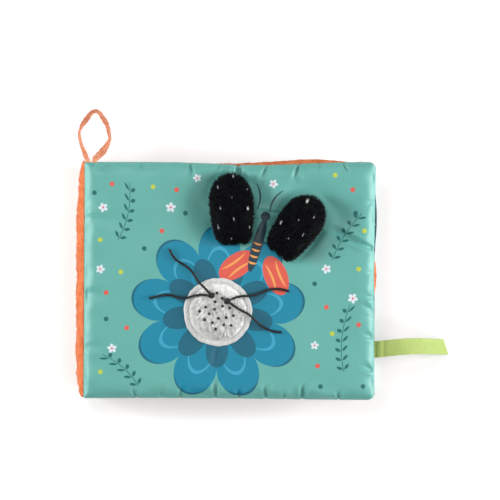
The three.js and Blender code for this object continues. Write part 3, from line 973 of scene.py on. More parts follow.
def trial_cloth(points, faces, hold, spare, pressure, growth):
    """A stand-in with its cloth settings; hold and spare are weights per point."""
    mesh = bpy.data.meshes.new("trial")
    mesh.from_pydata((points * TRIAL_SCALE).tolist(), [], faces)
    trial = bpy.data.objects.new("trial", mesh)
    scene.collection.objects.link(trial)
    for name, weights in (("hold", hold), ("spare", spare)):
        group = trial.vertex_groups.new(name=name)
        for index, weight in enumerate(weights):
            group.add([index], float(weight), "REPLACE")
    cloth = trial.modifiers.new("cloth", "CLOTH")
    for key, value in CLOTH_SETTINGS.items():
        setattr(cloth.settings, key, value)
    cloth.settings.shrink_max = -growth
    cloth.settings.uniform_pressure_force = pressure
    cloth.settings.effector_weights.gravity = 0
    cloth.collision_settings.use_collision = False
    cloth.collision_settings.use_self_collision = False
    cloth.point_cache.frame_start = 1
    cloth.point_cache.frame_end = TRIAL_FRAMES
    return trial


print("cloth settings:", len(CLOTH_SETTINGS))


# %% Settle a cloth
def settle_cloth(*cloth_values):
    """Points of a cloth after a short simulation."""
    trial = trial_cloth(*cloth_values)
    for frame_number in range(1, TRIAL_FRAMES + 1):
        scene.frame_set(frame_number)
    settled = trial.evaluated_get(bpy.context.evaluated_depsgraph_get()).data
    flat = np.empty(3 * len(settled.vertices))
    settled.vertices.foreach_get("co", flat)
    mesh = trial.data
    bpy.data.objects.remove(trial)
    bpy.data.meshes.remove(mesh)
    scene.frame_set(1)
    return flat.reshape(-1, 3) / TRIAL_SCALE


print("a trial runs for", TRIAL_FRAMES, "frames")

# %% [markdown]
# The solver finds believable wrinkles, but not those of this one album. So the folds
# that the photograph shows are listed and added afterwards: short puckers at the seam,
# one long fold by the fore-edge and soft hollows. A fold is a valley with two low ridges
# beside it, which opens and fades away from the seam.

# %% Folds of the front cover
FOLDS = [
    # x, y at the seam; x, y at the far end; depth; half width
    (-27.0, 82, -24.9, 69.5, 1.9, 1.1), (5.6, 82, 7.2, 66.0, 4.4, 2.1),
    (27.0, 81, 20.6, 67.0, 1.9, 1.3), (47.8, 81, 43.4, 66.5, 2.5, 1.5),
    (76.0, 82, 83.0, 71.0, 1.3, 1.4), (-78, 82, -92, 74, 1.1, 1.5),
    (-90, 82, -95, 76, 0.9, 1.2), (-58, 82, -63, 74, 1.0, 1.4), (-6, 82, -8, 73, 1.2, 1.2),
    (62, 82, 61, 72, 0.9, 1.2), (100, 20.5, 60.0, 39.5, 2.8, 1.9),
    (100, -12.5, 88.0, -9.0, 1.7, 1.6), (100, -21.5, 88.5, -15.5, 1.4, 1.6),
    (100, -39.5, 87.5, -34.8, 1.5, 1.8), (100, -62.5, 87.5, -56.0, 1.6, 1.8),
    (100, 55, 92, 51.5, 0.8, 1.4), (100, 4, 91, 7, 0.9, 1.4),
    (-62.5, -81, -66.6, -72.5, 1.6, 1.1), (24.9, -82, 24.3, -69.5, 2.4, 1.2),
    (49.6, -82, 50.2, -69.5, 3.0, 1.3), (74.7, -82, 73.6, -74.5, 1.5, 1.1),
    (-9.1, -81, -9.9, -66.0, 2.6, 1.4), (6.8, -81, 5.8, -73.0, 2.0, 1.2),
    (-34, -81, -32, -71, 1.7, 1.3), (-47, -81, -46, -74, 1.0, 1.2),
    (38, -82, 36.5, -74, 1.1, 1.2), (-99, 43.5, -68, 39.0, 0.9, 3.2),
    (-8.5, -46.5, -10.6, -64.0, 1.1, 2.6), (32, 46.2, 0, 47.6, 2.8, 1.7),
    (-99, -8, -78, -10.5, 0.6, 3.2), (-99, -46, -82, -43.5, 0.6, 2.8),
]
FOLD_CRISPNESS = 1.35
FOLD_OPENING = (0.55, 0.8)
FADE_END = (1.1, 0.8)
FADE_START = (0.4, 0.3)
RIDGE_PLACE = 2.1


def fold_shape(x, y, fold):
    start, end, depth, width = np.array(fold[:2]), np.array(fold[2:4]), fold[4], fold[5]
    length = np.linalg.norm(end - start)
    forward = (end - start) / length
    along = ((x - start[0]) * forward[0] + (y - start[1]) * forward[1]) / length
    aside = (x - start[0]) * -forward[1] + (y - start[1]) * forward[0]
    spread = width * (FOLD_OPENING[0] + FOLD_OPENING[1] * np.clip(along, 0, 1))
    fade = smooth_step((FADE_END[0] - along) / FADE_END[1])
    fade = fade * smooth_step((along + FADE_START[0]) / FADE_START[1])
    valley = depth * fade * np.exp(-np.abs(aside / spread) ** FOLD_CRISPNESS)
    ridge = depth * fade * np.exp(-((np.abs(aside) - RIDGE_PLACE * spread) / spread) ** 2)
    return valley, ridge, forward


print("folds:", len(FOLDS))

# %% [markdown]
# The two plush flaps are heavy, and the cover sinks under them and close beside them. In
# the photograph that shows as a shaded moat round each flap. It is the distance from the
# flap's long middle line, faded out with an exponential.

# %% Moat round the flaps
FLAP_BASES = {"left_flap": (3.1, 24.4, 93.6), "right_flap": (32.2, 17.9, 53.9)}
FLAP_LENGTH = 50.0
FLAP_HALF = 15.2
MOAT_DEPTH = 5.0
MOAT_REACH = 7.0
MOAT_START = (2, 18)
MOAT_BACK = 3


def flap_moat(x, y):
    sink = 0 * x
    for base_x, base_y, direction in FLAP_BASES.values():
        aim = math.radians(direction)
        along = (x - base_x) * math.cos(aim) + (y - base_y) * math.sin(aim)
        aside = (y - base_y) * math.cos(aim) - (x - base_x) * math.sin(aim)
        nearest = np.clip(along, FLAP_HALF - MOAT_BACK, FLAP_LENGTH - FLAP_HALF)
        outside = np.maximum(np.hypot(along - nearest, aside) - FLAP_HALF, 0)
        start = smooth_step((along + MOAT_START[0]) / MOAT_START[1])
        sink = np.maximum(sink, MOAT_DEPTH * start * np.exp(-outside / MOAT_REACH))
    return sink


print("the cover sinks up to", MOAT_DEPTH, "mm under a flap")

# %% [markdown]
# All of this is added to the sheet: moats, folds, hollows and, close to the seam, small
# waves, because a sewn edge is never quite even. A pucker also pulls the edge inwards.
# In the end the cloth is eased up wherever it would sink below its seam.

# %% Random lumps
WAVES_IN_LUMPS = 14
LUMP_SPREAD = 1.7


def lumps(points, size, seed):
    """Soft random heights, one per point, between about -1 and 1."""
    generator = np.random.default_rng(seed)
    total = np.zeros(len(points))
    for _ in range(WAVES_IN_LUMPS):
        wave = generator.normal(size=3) * 2 * math.pi / size / LUMP_SPREAD
        total += np.sin(points @ wave + generator.uniform(0, 2 * math.pi))
    return total / math.sqrt(WAVES_IN_LUMPS)


print("lumps at the middle:", lumps(np.zeros((1, 3)), 10, 1).round(2))

# %% Add the folds
HOLLOWS = [
    # x, y; radius; depth
    (74, 43, 11, 2.7), (-17, 50, 10, 1.8), (22, 50, 9, 2.0), (52, 22, 11, 1.5),
    (56, 62, 12, 1.0), (-66, -30, 20, 0.6), (-60, 50, 18, 0.5), (70, -34, 16, 0.7),
]
RIDGE_SHARE = 0.4
PULL_SHARE = 0.3
PULL_REACH = 7
SEWN_EASE = 5


def add_folds(sheet, x, y, depth, rim):
    sewn = smooth_step((np.hypot(x - PATCH[0], y - PATCH[1]) - PATCH_RADIUS) / SEWN_EASE)
    for fold in FOLDS:
        valley, ridge, forward = fold_shape(x, y, fold)
        sheet[..., 2] += rim * sewn * (RIDGE_SHARE * ridge - valley)
        pull = PULL_SHARE * valley * (1 - smooth_step(depth / PULL_REACH))
        sheet[..., 0] += pull * forward[0]
        sheet[..., 1] += pull * forward[1]
    for hollow_x, hollow_y, radius, sink in HOLLOWS:
        gap = np.hypot(x - hollow_x, y - hollow_y) / radius
        sheet[..., 2] -= rim * sink * np.exp(-gap**2)


print("hollows:", len(HOLLOWS))

# %% Fold the sheet
EDGE_WAVE = 0.55
EDGE_WAVE_SIZE = 15.0
EDGE_WAVE_REACH = 10.0
EDGE_WAVE_SEED = 5
LEAST_FILLING = 1.0
# distances from the seam over which each effect sets in
MOAT_EASE, RIM_EASE, FILLING_EASE, SOFTNESS_EASE = 15, 2.5, 8, 4


def ease_up(height, depth):
    """The height, smoothly kept above the least filling at this distance from the seam."""
    least = LEAST_FILLING * smooth_step(depth / FILLING_EASE)
    least = np.maximum(least, SEAM_LIP)
    softness = smooth_step(depth / SOFTNESS_EASE)
    return 0.5 * (height + least + np.sqrt((height - least) ** 2 + softness**2))


def fold_sheet(sheet, depth):
    """The sheet with its folds and hollows; depth is the distance from the seam."""
    x, y = sheet[..., 0].copy(), sheet[..., 1].copy()
    rim = smooth_step(depth / RIM_EASE)
    sheet[..., 2] -= flap_moat(x, y) * smooth_step(depth / MOAT_EASE)
    add_folds(sheet, x, y, depth, rim)
    flat_points = np.dstack([x, y, 0 * x]).reshape(-1, 3)
    waves = lumps(flat_points, EDGE_WAVE_SIZE, EDGE_WAVE_SEED).reshape(x.shape)
    sheet[..., 2] += EDGE_WAVE * waves * rim * np.exp(-(depth / EDGE_WAVE_REACH) ** 2)
    sheet[..., 2] = FRONT_SEAM + ease_up(sheet[..., 2] - FRONT_SEAM, depth)
    return sheet


print("least filling:", LEAST_FILLING, "mm")

# %% [markdown]
# The front cover comes together here: its plan, with each side drawn in as the
# photograph shows it, the simulation and the folds. The simulated cloth is kept close to
# the height that the CAD model gives it, most of all under the pieces sewn to it.

# %% Drawn-in sides
SEAM_DRAW = 1.2
HEAD_SAG = 2.1
HEAD_SAG_PLACE = (0.6, 0.2)
HEAD_SAG_EASE = 0.1
TAIL_SAG = 0.8
FORE_SAG = 0.7


def drawn_in(share):
    return SEAM_DRAW * np.sin(math.pi * share)


def front_head(share):
    """The head side sags most where the deepest fold gathers it."""
    sag = HEAD_SAG * np.exp(-((share - HEAD_SAG_PLACE[0]) / HEAD_SAG_PLACE[1]) ** 2)
    return sag * smooth_step(np.minimum(share, 1 - share) / HEAD_SAG_EASE)


def front_tail(share):
    return TAIL_SAG * np.sin(math.pi * share) * (1 - share)


def front_fore(share):
    return FORE_SAG * np.sin(math.pi * share)


print("the head side sags", round(float(front_head(HEAD_SAG_PLACE[0])), 2), "mm")

# %% Simulate a cover
COVER_COLUMNS = 121
COVER_ROWS = 97
SOFTEN_ROUNDS = 6
SOFTEN_SHARE = 0.5
MOST_RISE = 1.2
MOST_SIDEWAYS = 1.0
SEAM_WIDTH = 1e-3
HOLD_RANGE = (0.04, 0.56)
HOLD_START = (4, 20)
SPARE_REACH = 20


def soften(moved):
    """Evens out how far the cloth moved between neighbours, so that wrinkles stay broad."""
    for _ in range(SOFTEN_ROUNDS):
        inner = moved[1:-1, 1:-1]
        across = moved[1:-1, 2:] + moved[1:-1, :-2]
        upward = moved[2:, 1:-1] + moved[:-2, 1:-1]
        inner += SOFTEN_SHARE * (0.25 * (across + upward) - inner)
    return moved


def simulated_cover(plan, rise, side, seam, pressure, growth):
    sheet = np.dstack([plan, seam + side * rise])
    depth = edge_depth(plan)
    held = smooth_step((depth - HOLD_START[0]) / HOLD_START[1])
    hold = np.where(depth < SEAM_WIDTH, 1.0, HOLD_RANGE[0] + HOLD_RANGE[1] * held)
    spare = 1 - smooth_step(depth / SPARE_REACH)
    points = sheet.reshape(-1, 3)
    faces = sheet_faces(*plan.shape[:2])
    if side < 0:
        faces = [face[::-1] for face in faces]
    moved = settle_cloth(points, faces, hold.ravel(), spare.ravel(), pressure, growth)
    moved = soften((moved - points).reshape(sheet.shape))
    sideways = np.clip(moved[..., :2], -MOST_SIDEWAYS, MOST_SIDEWAYS)
    upward = MOST_RISE * np.tanh(moved[..., 2] / MOST_RISE)
    print(f"  cloth moved {upward.min():.2f} to {upward.max():.2f} mm, mean {upward.mean():.2f}")
    return sheet + np.dstack([sideways, upward])


print("cover grid:", COVER_COLUMNS, "x", COVER_ROWS)

# %% Front cover
FRONT_PRESSURE = 1.2
FRONT_SPARE = 0.04


def keep_place(piece, places):
    """Stores where each point lies on the flat cloth, for the print."""
    attribute = piece.data.attributes.new("cloth_place", "FLOAT_VECTOR", "POINT")
    attribute.data.foreach_set("vector", np.asarray(places, np.float32).ravel())


def closed_sheet(name, points, size, finish, body, slot):
    """A sheet whose rim is closed by one large face."""
    rim = sheet_rim(*size)
    return add_piece(name, points, [*sheet_faces(*size), rim[::-1].tolist()], [finish], body, slot)


front_plan = cover_plan(COVER_COLUMNS, COVER_ROWS, FRONT_CORNERS,
                        front_tail, front_head, front_fore)
rise = crowned(edge_depth(front_plan), FRONT_SHOULDER, FRONT_CROWN)
sheet = simulated_cover(front_plan, rise, 1, FRONT_SEAM, FRONT_PRESSURE, FRONT_SPARE)
sheet, flat = refine(sheet), refine(np.dstack([front_plan, 0 * rise]))
sheet = fold_sheet(sheet, edge_depth(flat[..., :2]))
size = sheet.shape[:2]
points = sheet.reshape(-1, 3)
points[sheet_rim(*size), 2] = FRONT_SEAM + SEAM_LIP
front_face = closed_sheet("front_cover_satin", points, size, front_satin,
                          "front_cover", "teal_satin")
keep_place(front_face, flat.reshape(-1, 3))
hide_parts("front_cover_face", "front_cover_foam")

# %% [markdown]
# The back cover is the same pad, pressed flat where it lies on the table. Only its edges
# show with the album shut, and its whole face when the album stands on edge.

# %% Back cover
BACK_SHOULDER = 10.0
BACK_PRESSURE = 0.5
BACK_SPARE = 0.03
back_plan = cover_plan(COVER_COLUMNS, COVER_ROWS, EVEN_CORNERS, drawn_in, drawn_in, drawn_in)
rise = crowned(edge_depth(back_plan), BACK_SHOULDER, 0.0)
sheet = simulated_cover(back_plan, rise, -1, BACK_SEAM, BACK_PRESSURE, BACK_SPARE)
sheet, flat = refine(sheet), refine(np.dstack([back_plan, 0 * rise]))
points = sheet.reshape(-1, 3)
points[:, 2] = np.maximum(points[:, 2], 0.0)
points[sheet_rim(*size), 2] = BACK_SEAM - SEAM_LIP
back_face = closed_sheet("back_cover_satin", points, size, back_satin, "back_cover", "teal_satin")
keep_place(back_face, flat.reshape(-1, 3))
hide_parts("back_cover_face", "back_cover_foam")

# %% [markdown]
# Plush, velour and fleece get their look from fibres that stand on the cloth. Blender's
# hair would not be exported as a mesh, so each fibre here is a thin closed spike. Spikes
# are scattered evenly over the cloth by area, from a seeded generator, so every run
# grows the same pile.


# %% Pile helpers
def scatter(points, faces, count, generator):
    quads = np.asarray(points)[np.array([face for face in faces if len(face) == 4])]
    a, b, c, d = (quads[:, i] for i in range(4))
    normals = np.cross(c - a, d - b)
    area = np.linalg.norm(normals, axis=1)
    pick = generator.choice(len(area), count, p=area / area.sum())
    u, v = generator.random((2, count, 1))
    low = (1 - u) * a[pick] + u * b[pick]
    high = (1 - u) * d[pick] + u * c[pick]
    return (1 - v) * low + v * high, unit(normals[pick])


def grow_pile(roots, aims, lengths, thickness, generator):
    """Closed three-sided spikes from the roots along the aims."""
    aims = unit(aims)
    side = unit(np.cross(aims, generator.normal(size=roots.shape)))
    third = np.cross(aims, side)
    corners = []
    for turn in full_turn(3):
        corners.append(roots + thickness * (math.cos(turn) * side + math.sin(turn) * third))
    tips = roots + aims * lengths[:, None]
    points = np.stack([*corners, tips], 1).reshape(-1, 3)
    first = 4 * np.arange(len(roots))[:, None, None]
    faces = first + np.array([[0, 1, 3], [1, 2, 3], [2, 0, 3], [2, 1, 0]])
    return points, faces.reshape(-1, 3).tolist()


def short_nap(generator, roots, normals, disorder, lengths, thickness):
    """Spikes that stand on the cloth, each a little askew."""
    aims = normals + disorder * generator.normal(size=roots.shape)
    return grow_pile(roots, aims, generator.uniform(*lengths, len(roots)), thickness, generator)


print("a spike has 4 faces, so 5000 of them have", 4 * 5000)

# %% [markdown]
# The linings are orange velour. The lining is cut a little large and rolls out past the
# satin at the head and at the fore-edge, where the photograph shows an orange line. Its
# face is flat, because the leaves press on it, and its edge is lumpy with short nap.

# %% Velour and its roll-out
velour = nap_finish("orange_velour", "#CD5D2B", "#F4935D", size=0.9, roughness=0.95,
                    sheen=0.35, sheen_colour="#FFD9B8", depth=0.3)
velour_pile = fibre_finish("orange_velour_pile", "#D9622F", "#F9BC96", roughness=0.9,
                           sheen=0.35, sheen_colour="#FFDDC0")
LINING_INSET = 0.5
HEAD_INSET = 0.1
# start and end as shares of the side, length of each easing, reach in millimetres
HEAD_ROLL = (0.43, 0.92, 0.34, 0.16, 2.9)
FORE_ROLL = (0.425, 0.61, 0.07, 0.07, 1.9)
ROLL_FULLNESS = 0.7


def roll_out(share, start, end, ease_in, ease_out, reach):
    """How far the velour shows between two shares of a side, with a soft start and end."""
    rising = smooth_step((share - start) / ease_in)
    falling = smooth_step((end - share) / ease_out)
    return reach * np.minimum(rising, falling) ** ROLL_FULLNESS


def lining_head(share):
    return front_head(share) + HEAD_INSET - roll_out(share, *HEAD_ROLL)


def lining_fore(share):
    return front_fore(share) + LINING_INSET - roll_out(share, *FORE_ROLL)


def lining_tail(share):
    return front_tail(share) + LINING_INSET


def inset_even(share):
    return drawn_in(share) + LINING_INSET


print("the lining rolls out up to", HEAD_ROLL[-1], "mm")

# %% Shape of a lining
LINING_SHOULDER = 6.0
LINING_SIDES = {
    "front_cover": (FRONT_CORNERS, lining_tail, lining_head, lining_fore),
    "back_cover": (EVEN_CORNERS, inset_even, inset_even, inset_even),
}
LINING_LUMP = 0.25
LUMPS_ASIDE, LUMPS_UPWARD = 5, 4
LUMPY_START, LUMPY_EASE = 4, 8
LUMPY_REACH = 8
LUMPY_RIM = 2


def lining_shape(plan, depth, seam, side, seed):
    rise = crowned(depth, LINING_SHOULDER, 0.0)
    points = np.dstack([plan, seam + side * rise]).reshape(-1, 3)
    edge = 1 - smooth_step((depth.ravel() - LUMPY_START) / LUMPY_EASE)
    outward = np.dstack([np.sign(plan) * (depth < LUMPY_REACH)[..., None], 0 * rise])
    swell = LINING_LUMP * (edge * lumps(points, LUMPS_ASIDE, seed))[:, None]
    points += swell * unit(outward.reshape(-1, 3))
    upward = side * LINING_LUMP * edge * lumps(points, LUMPS_UPWARD, seed + 1)
    points[:, 2] += upward * smooth_step(depth.ravel() / LUMPY_RIM)
    points[sheet_rim(*plan.shape[:2]), 2] = seam + side * SEAM_LIP
    return points


print("linings to make:", *LINING_SIDES)

# %% Linings
NAP_EDGE = 3.5
LINING_FIBRES = 7000


def make_lining(cover, seam, side, seed):
    plan = cover_plan(COVER_COLUMNS, COVER_ROWS, *LINING_SIDES[cover])
    depth = edge_depth(plan)
    size = plan.shape[:2]
    points = lining_shape(plan, depth, seam, side, seed)
    body = closed_sheet(f"{cover}_velour", points, size, velour, cover, "orange_velour")
    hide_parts(f"{cover}_lining")
    generator = np.random.default_rng(seed)
    edge_faces = [face for face in sheet_faces(*size) if depth.ravel()[face[0]] < NAP_EDGE]
    roots, normals = scatter(points, edge_faces, LINING_FIBRES, generator)
    pile = short_nap(generator, roots, side * normals, disorder=0.45, lengths=(0.5, 1.0),
                     thickness=0.1)
    add_piece(f"{cover}_velour_nap", *pile, [velour_pile], cover, "orange_velour")


make_lining("front_cover", FRONT_SEAM, -1, seed=11)
make_lining("back_cover", BACK_SEAM, 1, seed=16)

# %% [markdown]
# A fine thread closes each cover: short stitches cross the groove between satin and
# velour on the three open sides. One stitch is a small spindle, repeated along the rim.

# %% One stitch
thread_finish = partial(nap_finish, size=0.4, roughness=0.7, sheen=0.3, depth=0.04)
thread = thread_finish("pale_thread", "#B9CDC4", "#E4EFE9")
SPINDLE_SHARES = np.array([0, 0.12, 0.5, 0.88, 1])
SPINDLE_SWELL = np.array([0.25, 0.85, 1, 0.85, 0.25])
STEEP = 0.8


def stitch(start, end, radius, sides=6):
    swell = radius * SPINDLE_SWELL
    path = np.outer(1 - SPINDLE_SHARES, start) + np.outer(SPINDLE_SHARES, end)
    turn = full_turn(sides)[None]
    upright = (0.3, 0.2, 1) if abs(unit(end - start)[2]) < STEEP else (1, 0, 0)
    return sweep(path, swell[:, None] * np.cos(turn), swell[:, None] * np.sin(turn), upright)


def even_spots(path, pitch):
    run = path_run(path)
    spots = np.arange(pitch / 2, run[-1], pitch)
    return np.stack([np.interp(spots, run, path[:, i]) for i in range(path.shape[1])], 1)


print("a stitch has", len(SPINDLE_SHARES), "rings")

# %% Seam stitches
SEAM_PITCH = 3.2
SEAM_THREAD = 0.2
STITCH_HEIGHT = 1.5
STITCH_INSET = (0.3, 0.15)
SPINE_POINTS = 4
for cover, seam, plan in (("front_cover", FRONT_SEAM, front_plan),
                          ("back_cover", BACK_SEAM, back_plan)):
    tail_side, fore_side = plan[0, SPINE_POINTS:], plan[1:, -1]
    head_side = plan[-1, -2:SPINE_POINTS - 1:-1]
    stitches = []
    for x, y in even_spots(np.concatenate([tail_side, fore_side, head_side]), SEAM_PITCH):
        low = np.array([x - STITCH_INSET[0] * np.sign(x), y - STITCH_INSET[1] * np.sign(y),
                        seam - STITCH_HEIGHT / 2])
        stitches.append(stitch(low, low + (0, 0, STITCH_HEIGHT), SEAM_THREAD))
    add_piece(f"{cover}_seam_stitches", *join_parts(stitches), [thread], cover, "teal_satin")

# %% [markdown]
# The spine is a velour pillow that joins the two covers. It bulges out to the left, dies
# away at head and tail, and its soft stuffing makes it lumpy. Its inner face is flat and
# shows when the album lies open. Its front edge follows the front cover's left edge,
# which leans a little, and tucks under the satin, so no gap shows between them.

# %% Plan of the spine
SPINE_COLUMNS, SPINE_ROWS = 161, 33
SPINE_HALF = 79.4
SPINE_LOW, SPINE_HIGH = 4.55, 29.45
SPINE_ROUND = 2.5
SPINE_HEAD_STRETCH = 0.03
STRETCH_START = (60, 19)


def box_plan(x, y, low, high, radii, fore=None):
    """A grid over an upright box; radii are those of its left and right corners."""
    near, far = radii
    bottom = pad_side(x, low, (high[0], low[1]), (0, 1), radii, 0 * x)
    top = pad_side(x, (low[0], high[1]), high, (0, -1), radii, 0 * x)
    left = pad_side(y, low, (low[0], high[1]), (1, 0), (near, near), 0 * y)
    right = pad_side(y, (high[0], low[1]), high, (-1, 0), (far, far), fore(y) if fore else 0 * y)
    return spread_grid(bottom, top, left, right, x, y)


along = crowd(SPINE_COLUMNS)
up = 0.5 - 0.5 * np.cos(np.linspace(0, math.pi, SPINE_ROWS))
plan = box_plan(along, up, (-SPINE_HALF, SPINE_LOW), (SPINE_HALF, SPINE_HIGH),
                (SPINE_ROUND, SPINE_ROUND))
toward_end = smooth_step((plan[..., 0] - STRETCH_START[0]) / STRETCH_START[1])
plan[..., 0] *= 1 + SPINE_HEAD_STRETCH * toward_end
print("spine grid:", plan.shape[:2])

# %% Bulge of the spine
SPINE_BASE = -99.7
SPINE_BULGE = 5.0
SPINE_END_TAPER = 25.0
SPINE_SIDE_TAPER = 12.2
SPINE_HEAD_THIN = 0.3
THIN_START = (25, 55)
SPINE_HOLLOW = 0.5
SPINE_HOLLOW_RISE = 8
SPINE_TUCK = 0.15
SPINE_LEAN = 0.8
SPINE_LEAN_DEPTH = 6.0
stretch = plan / (SPINE_END_TAPER, SPINE_SIDE_TAPER)
slope = np.clip(1 - edge_depth(stretch), 0, 1)
head_end = 1 - SPINE_HEAD_THIN * smooth_step((plan[..., 0] - THIN_START[0]) / THIN_START[1])
bulge = SPINE_BULGE * np.sqrt(1 - slope**2) * head_end
hollow = SPINE_HOLLOW * smooth_step((1 - slope) * SPINE_HOLLOW_RISE)
outer = np.dstack([SPINE_BASE - bulge, plan[..., 0], plan[..., 1]])
inner = np.dstack([SPINE_BASE - hollow, plan[..., 0], plan[..., 1]])
toward_head = (plan[..., 0] + HALF_HEIGHT) / (2 * HALF_HEIGHT)
near_front = smooth_step((plan[..., 1] - SPINE_HIGH) / SPINE_LEAN_DEPTH + 1)
lean = (SPINE_TUCK + SPINE_LEAN * toward_head) * near_front
outer[..., 0] += lean
inner[..., 0] += lean
print("the spine bulges", round(float(bulge.max()), 1), "mm")

# %% Spine
SPINE_LUMPS = [(0.6, 13, 3), (0.35, 5, 4)]
SPINE_HEAD_LEAN = 0.5
HEAD_LEAN_START = (45, 35)
HEAD_LEAN_BULGE = 2
FACES_IN = 0.5
points, faces = outer.reshape(-1, 3), sheet_faces(SPINE_ROWS, SPINE_COLUMNS)
swell = sum(height * lumps(points, size, seed) for height, size, seed in SPINE_LUMPS)
points[:, 0] -= swell * smooth_step(bulge.ravel() / SPINE_BULGE)
head_lean = SPINE_HEAD_LEAN * smooth_step((points[:, 1] - HEAD_LEAN_START[0]) / HEAD_LEAN_START[1])
points[:, 0] += head_lean * smooth_step(bulge.ravel() / HEAD_LEAN_BULGE)
back_faces = [face[::-1] for face in sheet_faces(SPINE_ROWS, SPINE_COLUMNS, len(points))]
spine = add_piece("spine_velour", np.vstack([points, inner.reshape(-1, 3)]),
                  [*faces, *back_faces], [velour], "spine", "orange_velour", weld=True)
for polygon in spine.data.polygons:
    polygon.use_smooth = polygon.normal.x < FACES_IN
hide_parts("spine_band", "spine_padding", "spine_lining")

# %% Nap of the spine
SPINE_FIBRES = 9000
generator = np.random.default_rng(21)
roots, normals = scatter(points, faces, SPINE_FIBRES, generator)
normals *= -np.sign(normals[:, :1])
pile = short_nap(generator, roots, normals, disorder=0.5, lengths=(0.6, 1.2), thickness=0.11)
add_piece("spine_velour_nap", *pile, [velour_pile], "spine", "orange_velour")

# %% [markdown]
# A leaf is two cotton panels with thin wadding between them, sewn into the spine by a
# round bead. Its free edges are bound in a dark print. On each side lies a clear pocket
# whose coral binding is stitched down on three sides and open towards the spine, so a
# print slides in from there.

# %% Leaf finishes
DYE_PATCHES = 9.0
COTTON_WEAVE = {"Scale": 620.0, "Distortion": 0.6}
COTTON_BUMP = 0.05
SPECK_SCALE = 330.0
SPECK_RADIUS = 0.22
SPECK_EDGE = 3.0


def woven_finish(name, ground, fleck, roughness):
    made, tree, shader = start_finish(name, roughness, gloss=0.2, sheen=0.15)
    place = own_place(tree)
    uneven = grain(tree, place, DYE_PATCHES, 4.0)
    colour = lay_over(tree, uneven, shade(ground), shade(fleck))
    plug(tree, shader.inputs["Base Color"], colour)
    add_bump(tree, shader, crossed_threads(tree, {"Vector": place, **COTTON_WEAVE}), COTTON_BUMP)
    return made, tree, shader, colour


leaf_cotton = woven_finish("leaf_cotton", "#EFE9DA", "#F8F4E9", 0.85)[0]
coral_binding = woven_finish("coral_binding", "#D9523F", "#EA6A55", 0.8)[0]
edge_print, tree, shader, ground = woven_finish("dark_edge_print", "#1D3E4E", "#275060", 0.8)
cells = node(tree, "TexVoronoi", {"Vector": own_place(tree), "Scale": SPECK_SCALE})
in_speck = calc(tree, "MULTIPLY", calc(tree, "SUBTRACT", SPECK_RADIUS, cells), SPECK_EDGE)
speckled = lay_over(tree, soft_edge(tree, in_speck), ground, shade("#C9DCE0"))
plug(tree, shader.inputs["Base Color"], speckled)
print("leaf finishes:", leaf_cotton.name, coral_binding.name, edge_print.name)

# %% Thickness of a leaf
LEAF_AXIS = -98.05
LEAF_ROOT = 1.65
BEAD_REACH = 3.0
LEAF_HALF_THICK = 0.95
EDGE_ROUND = 1.4
EDGE_TAPE = 5.0
TAPE_THICK = 0.18
TAPE_STEP = (0.4, 0.5)
PANEL_START = (1.0, 2.0)


def leaf_half(plan):
    """Half the leaf's thickness: a bead at the root, a taped edge, flat under the pocket."""
    x, y = plan[..., 0], plan[..., 1]
    bead = np.sqrt(np.clip(LEAF_ROOT**2 - np.minimum(x - LEAF_AXIS, 0) ** 2, 0, None))
    bead = bead * (1 - smooth_step((x - LEAF_AXIS) / BEAD_REACH))
    free = np.minimum(plan[:, -1:, 0] - x, np.minimum(y - plan[:1, :, 1], plan[-1:, :, 1] - y))
    round_off = np.sqrt(1 - np.clip(1 - np.clip(free, 0, None) / EDGE_ROUND, 0, 1) ** 2)
    tape = TAPE_THICK * smooth_step((EDGE_TAPE + TAPE_STEP[0] - free) / TAPE_STEP[1])
    panel = smooth_step((x - LEAF_AXIS + PANEL_START[0]) / PANEL_START[1])
    return np.maximum(bead, (LEAF_HALF_THICK + tape) * panel) * round_off, free


print("a leaf's panel is", 2 * LEAF_HALF_THICK, "mm thick")

# %% Leaves
LEAF_COLUMNS, LEAF_ROWS = 97, 77
LEAF_FORE = 99.0
LEAF_HALF_HEIGHT = 76.0
LEAF_CORNER = 6.0
ROOT_CORNER = 0.4
LEAF_LEVELS = {1: 22.4, 2: 18.8, 3: 15.2, 4: 11.6}
PEEK_OUT = 1.9
PEEK_PLACE = (0.78, 0.13)
EDGE_DRIFT = (0.4, 7)


def leaf_fore(share, number):
    """The first leaf peeks out past the cover, the others only waver a little."""
    if number == 1:
        return -PEEK_OUT * np.exp(-((share - PEEK_PLACE[0]) / PEEK_PLACE[1]) ** 2)
    return EDGE_DRIFT[0] * np.sin(EDGE_DRIFT[1] * share + number) * np.sin(math.pi * share)


def make_leaf(number, level):
    low, high = (LEAF_AXIS - LEAF_ROOT, -LEAF_HALF_HEIGHT), (LEAF_FORE, LEAF_HALF_HEIGHT)
    plan = box_plan(crowd(LEAF_COLUMNS), crowd(LEAF_ROWS), low, high,
                    (ROOT_CORNER, LEAF_CORNER), partial(leaf_fore, number=number))
    half, free = leaf_half(plan)
    upper = np.dstack([plan, level + half]).reshape(-1, 3)
    lower = np.dstack([plan, level - half]).reshape(-1, 3)
    faces = sheet_faces(*half.shape)
    faces += [face[::-1] for face in sheet_faces(*half.shape, len(upper))]
    name = f"leaf_{number}"
    leaf = add_piece(f"{name}_quilt", np.vstack([upper, lower]), faces,
                     [leaf_cotton, edge_print], name, "leaf_cotton", weld=True)
    free = np.tile(free.ravel(), 2)
    taped = free[np.array(faces)].min(1) < EDGE_TAPE
    leaf.data.polygons.foreach_set("material_index", taped.astype(np.int32))
    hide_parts(f"{name}_wadding", f"{name}_front_panel", f"{name}_back_panel")


for number, level in LEAF_LEVELS.items():
    make_leaf(number, level)

# %% [markdown]
# A pocket's binding is a tape along a square U, domed a little and mitred at the two
# corners, with a row of stitches near each edge. Mitring is easy in a loft: at a corner
# the ring of points simply stands on the diagonal.

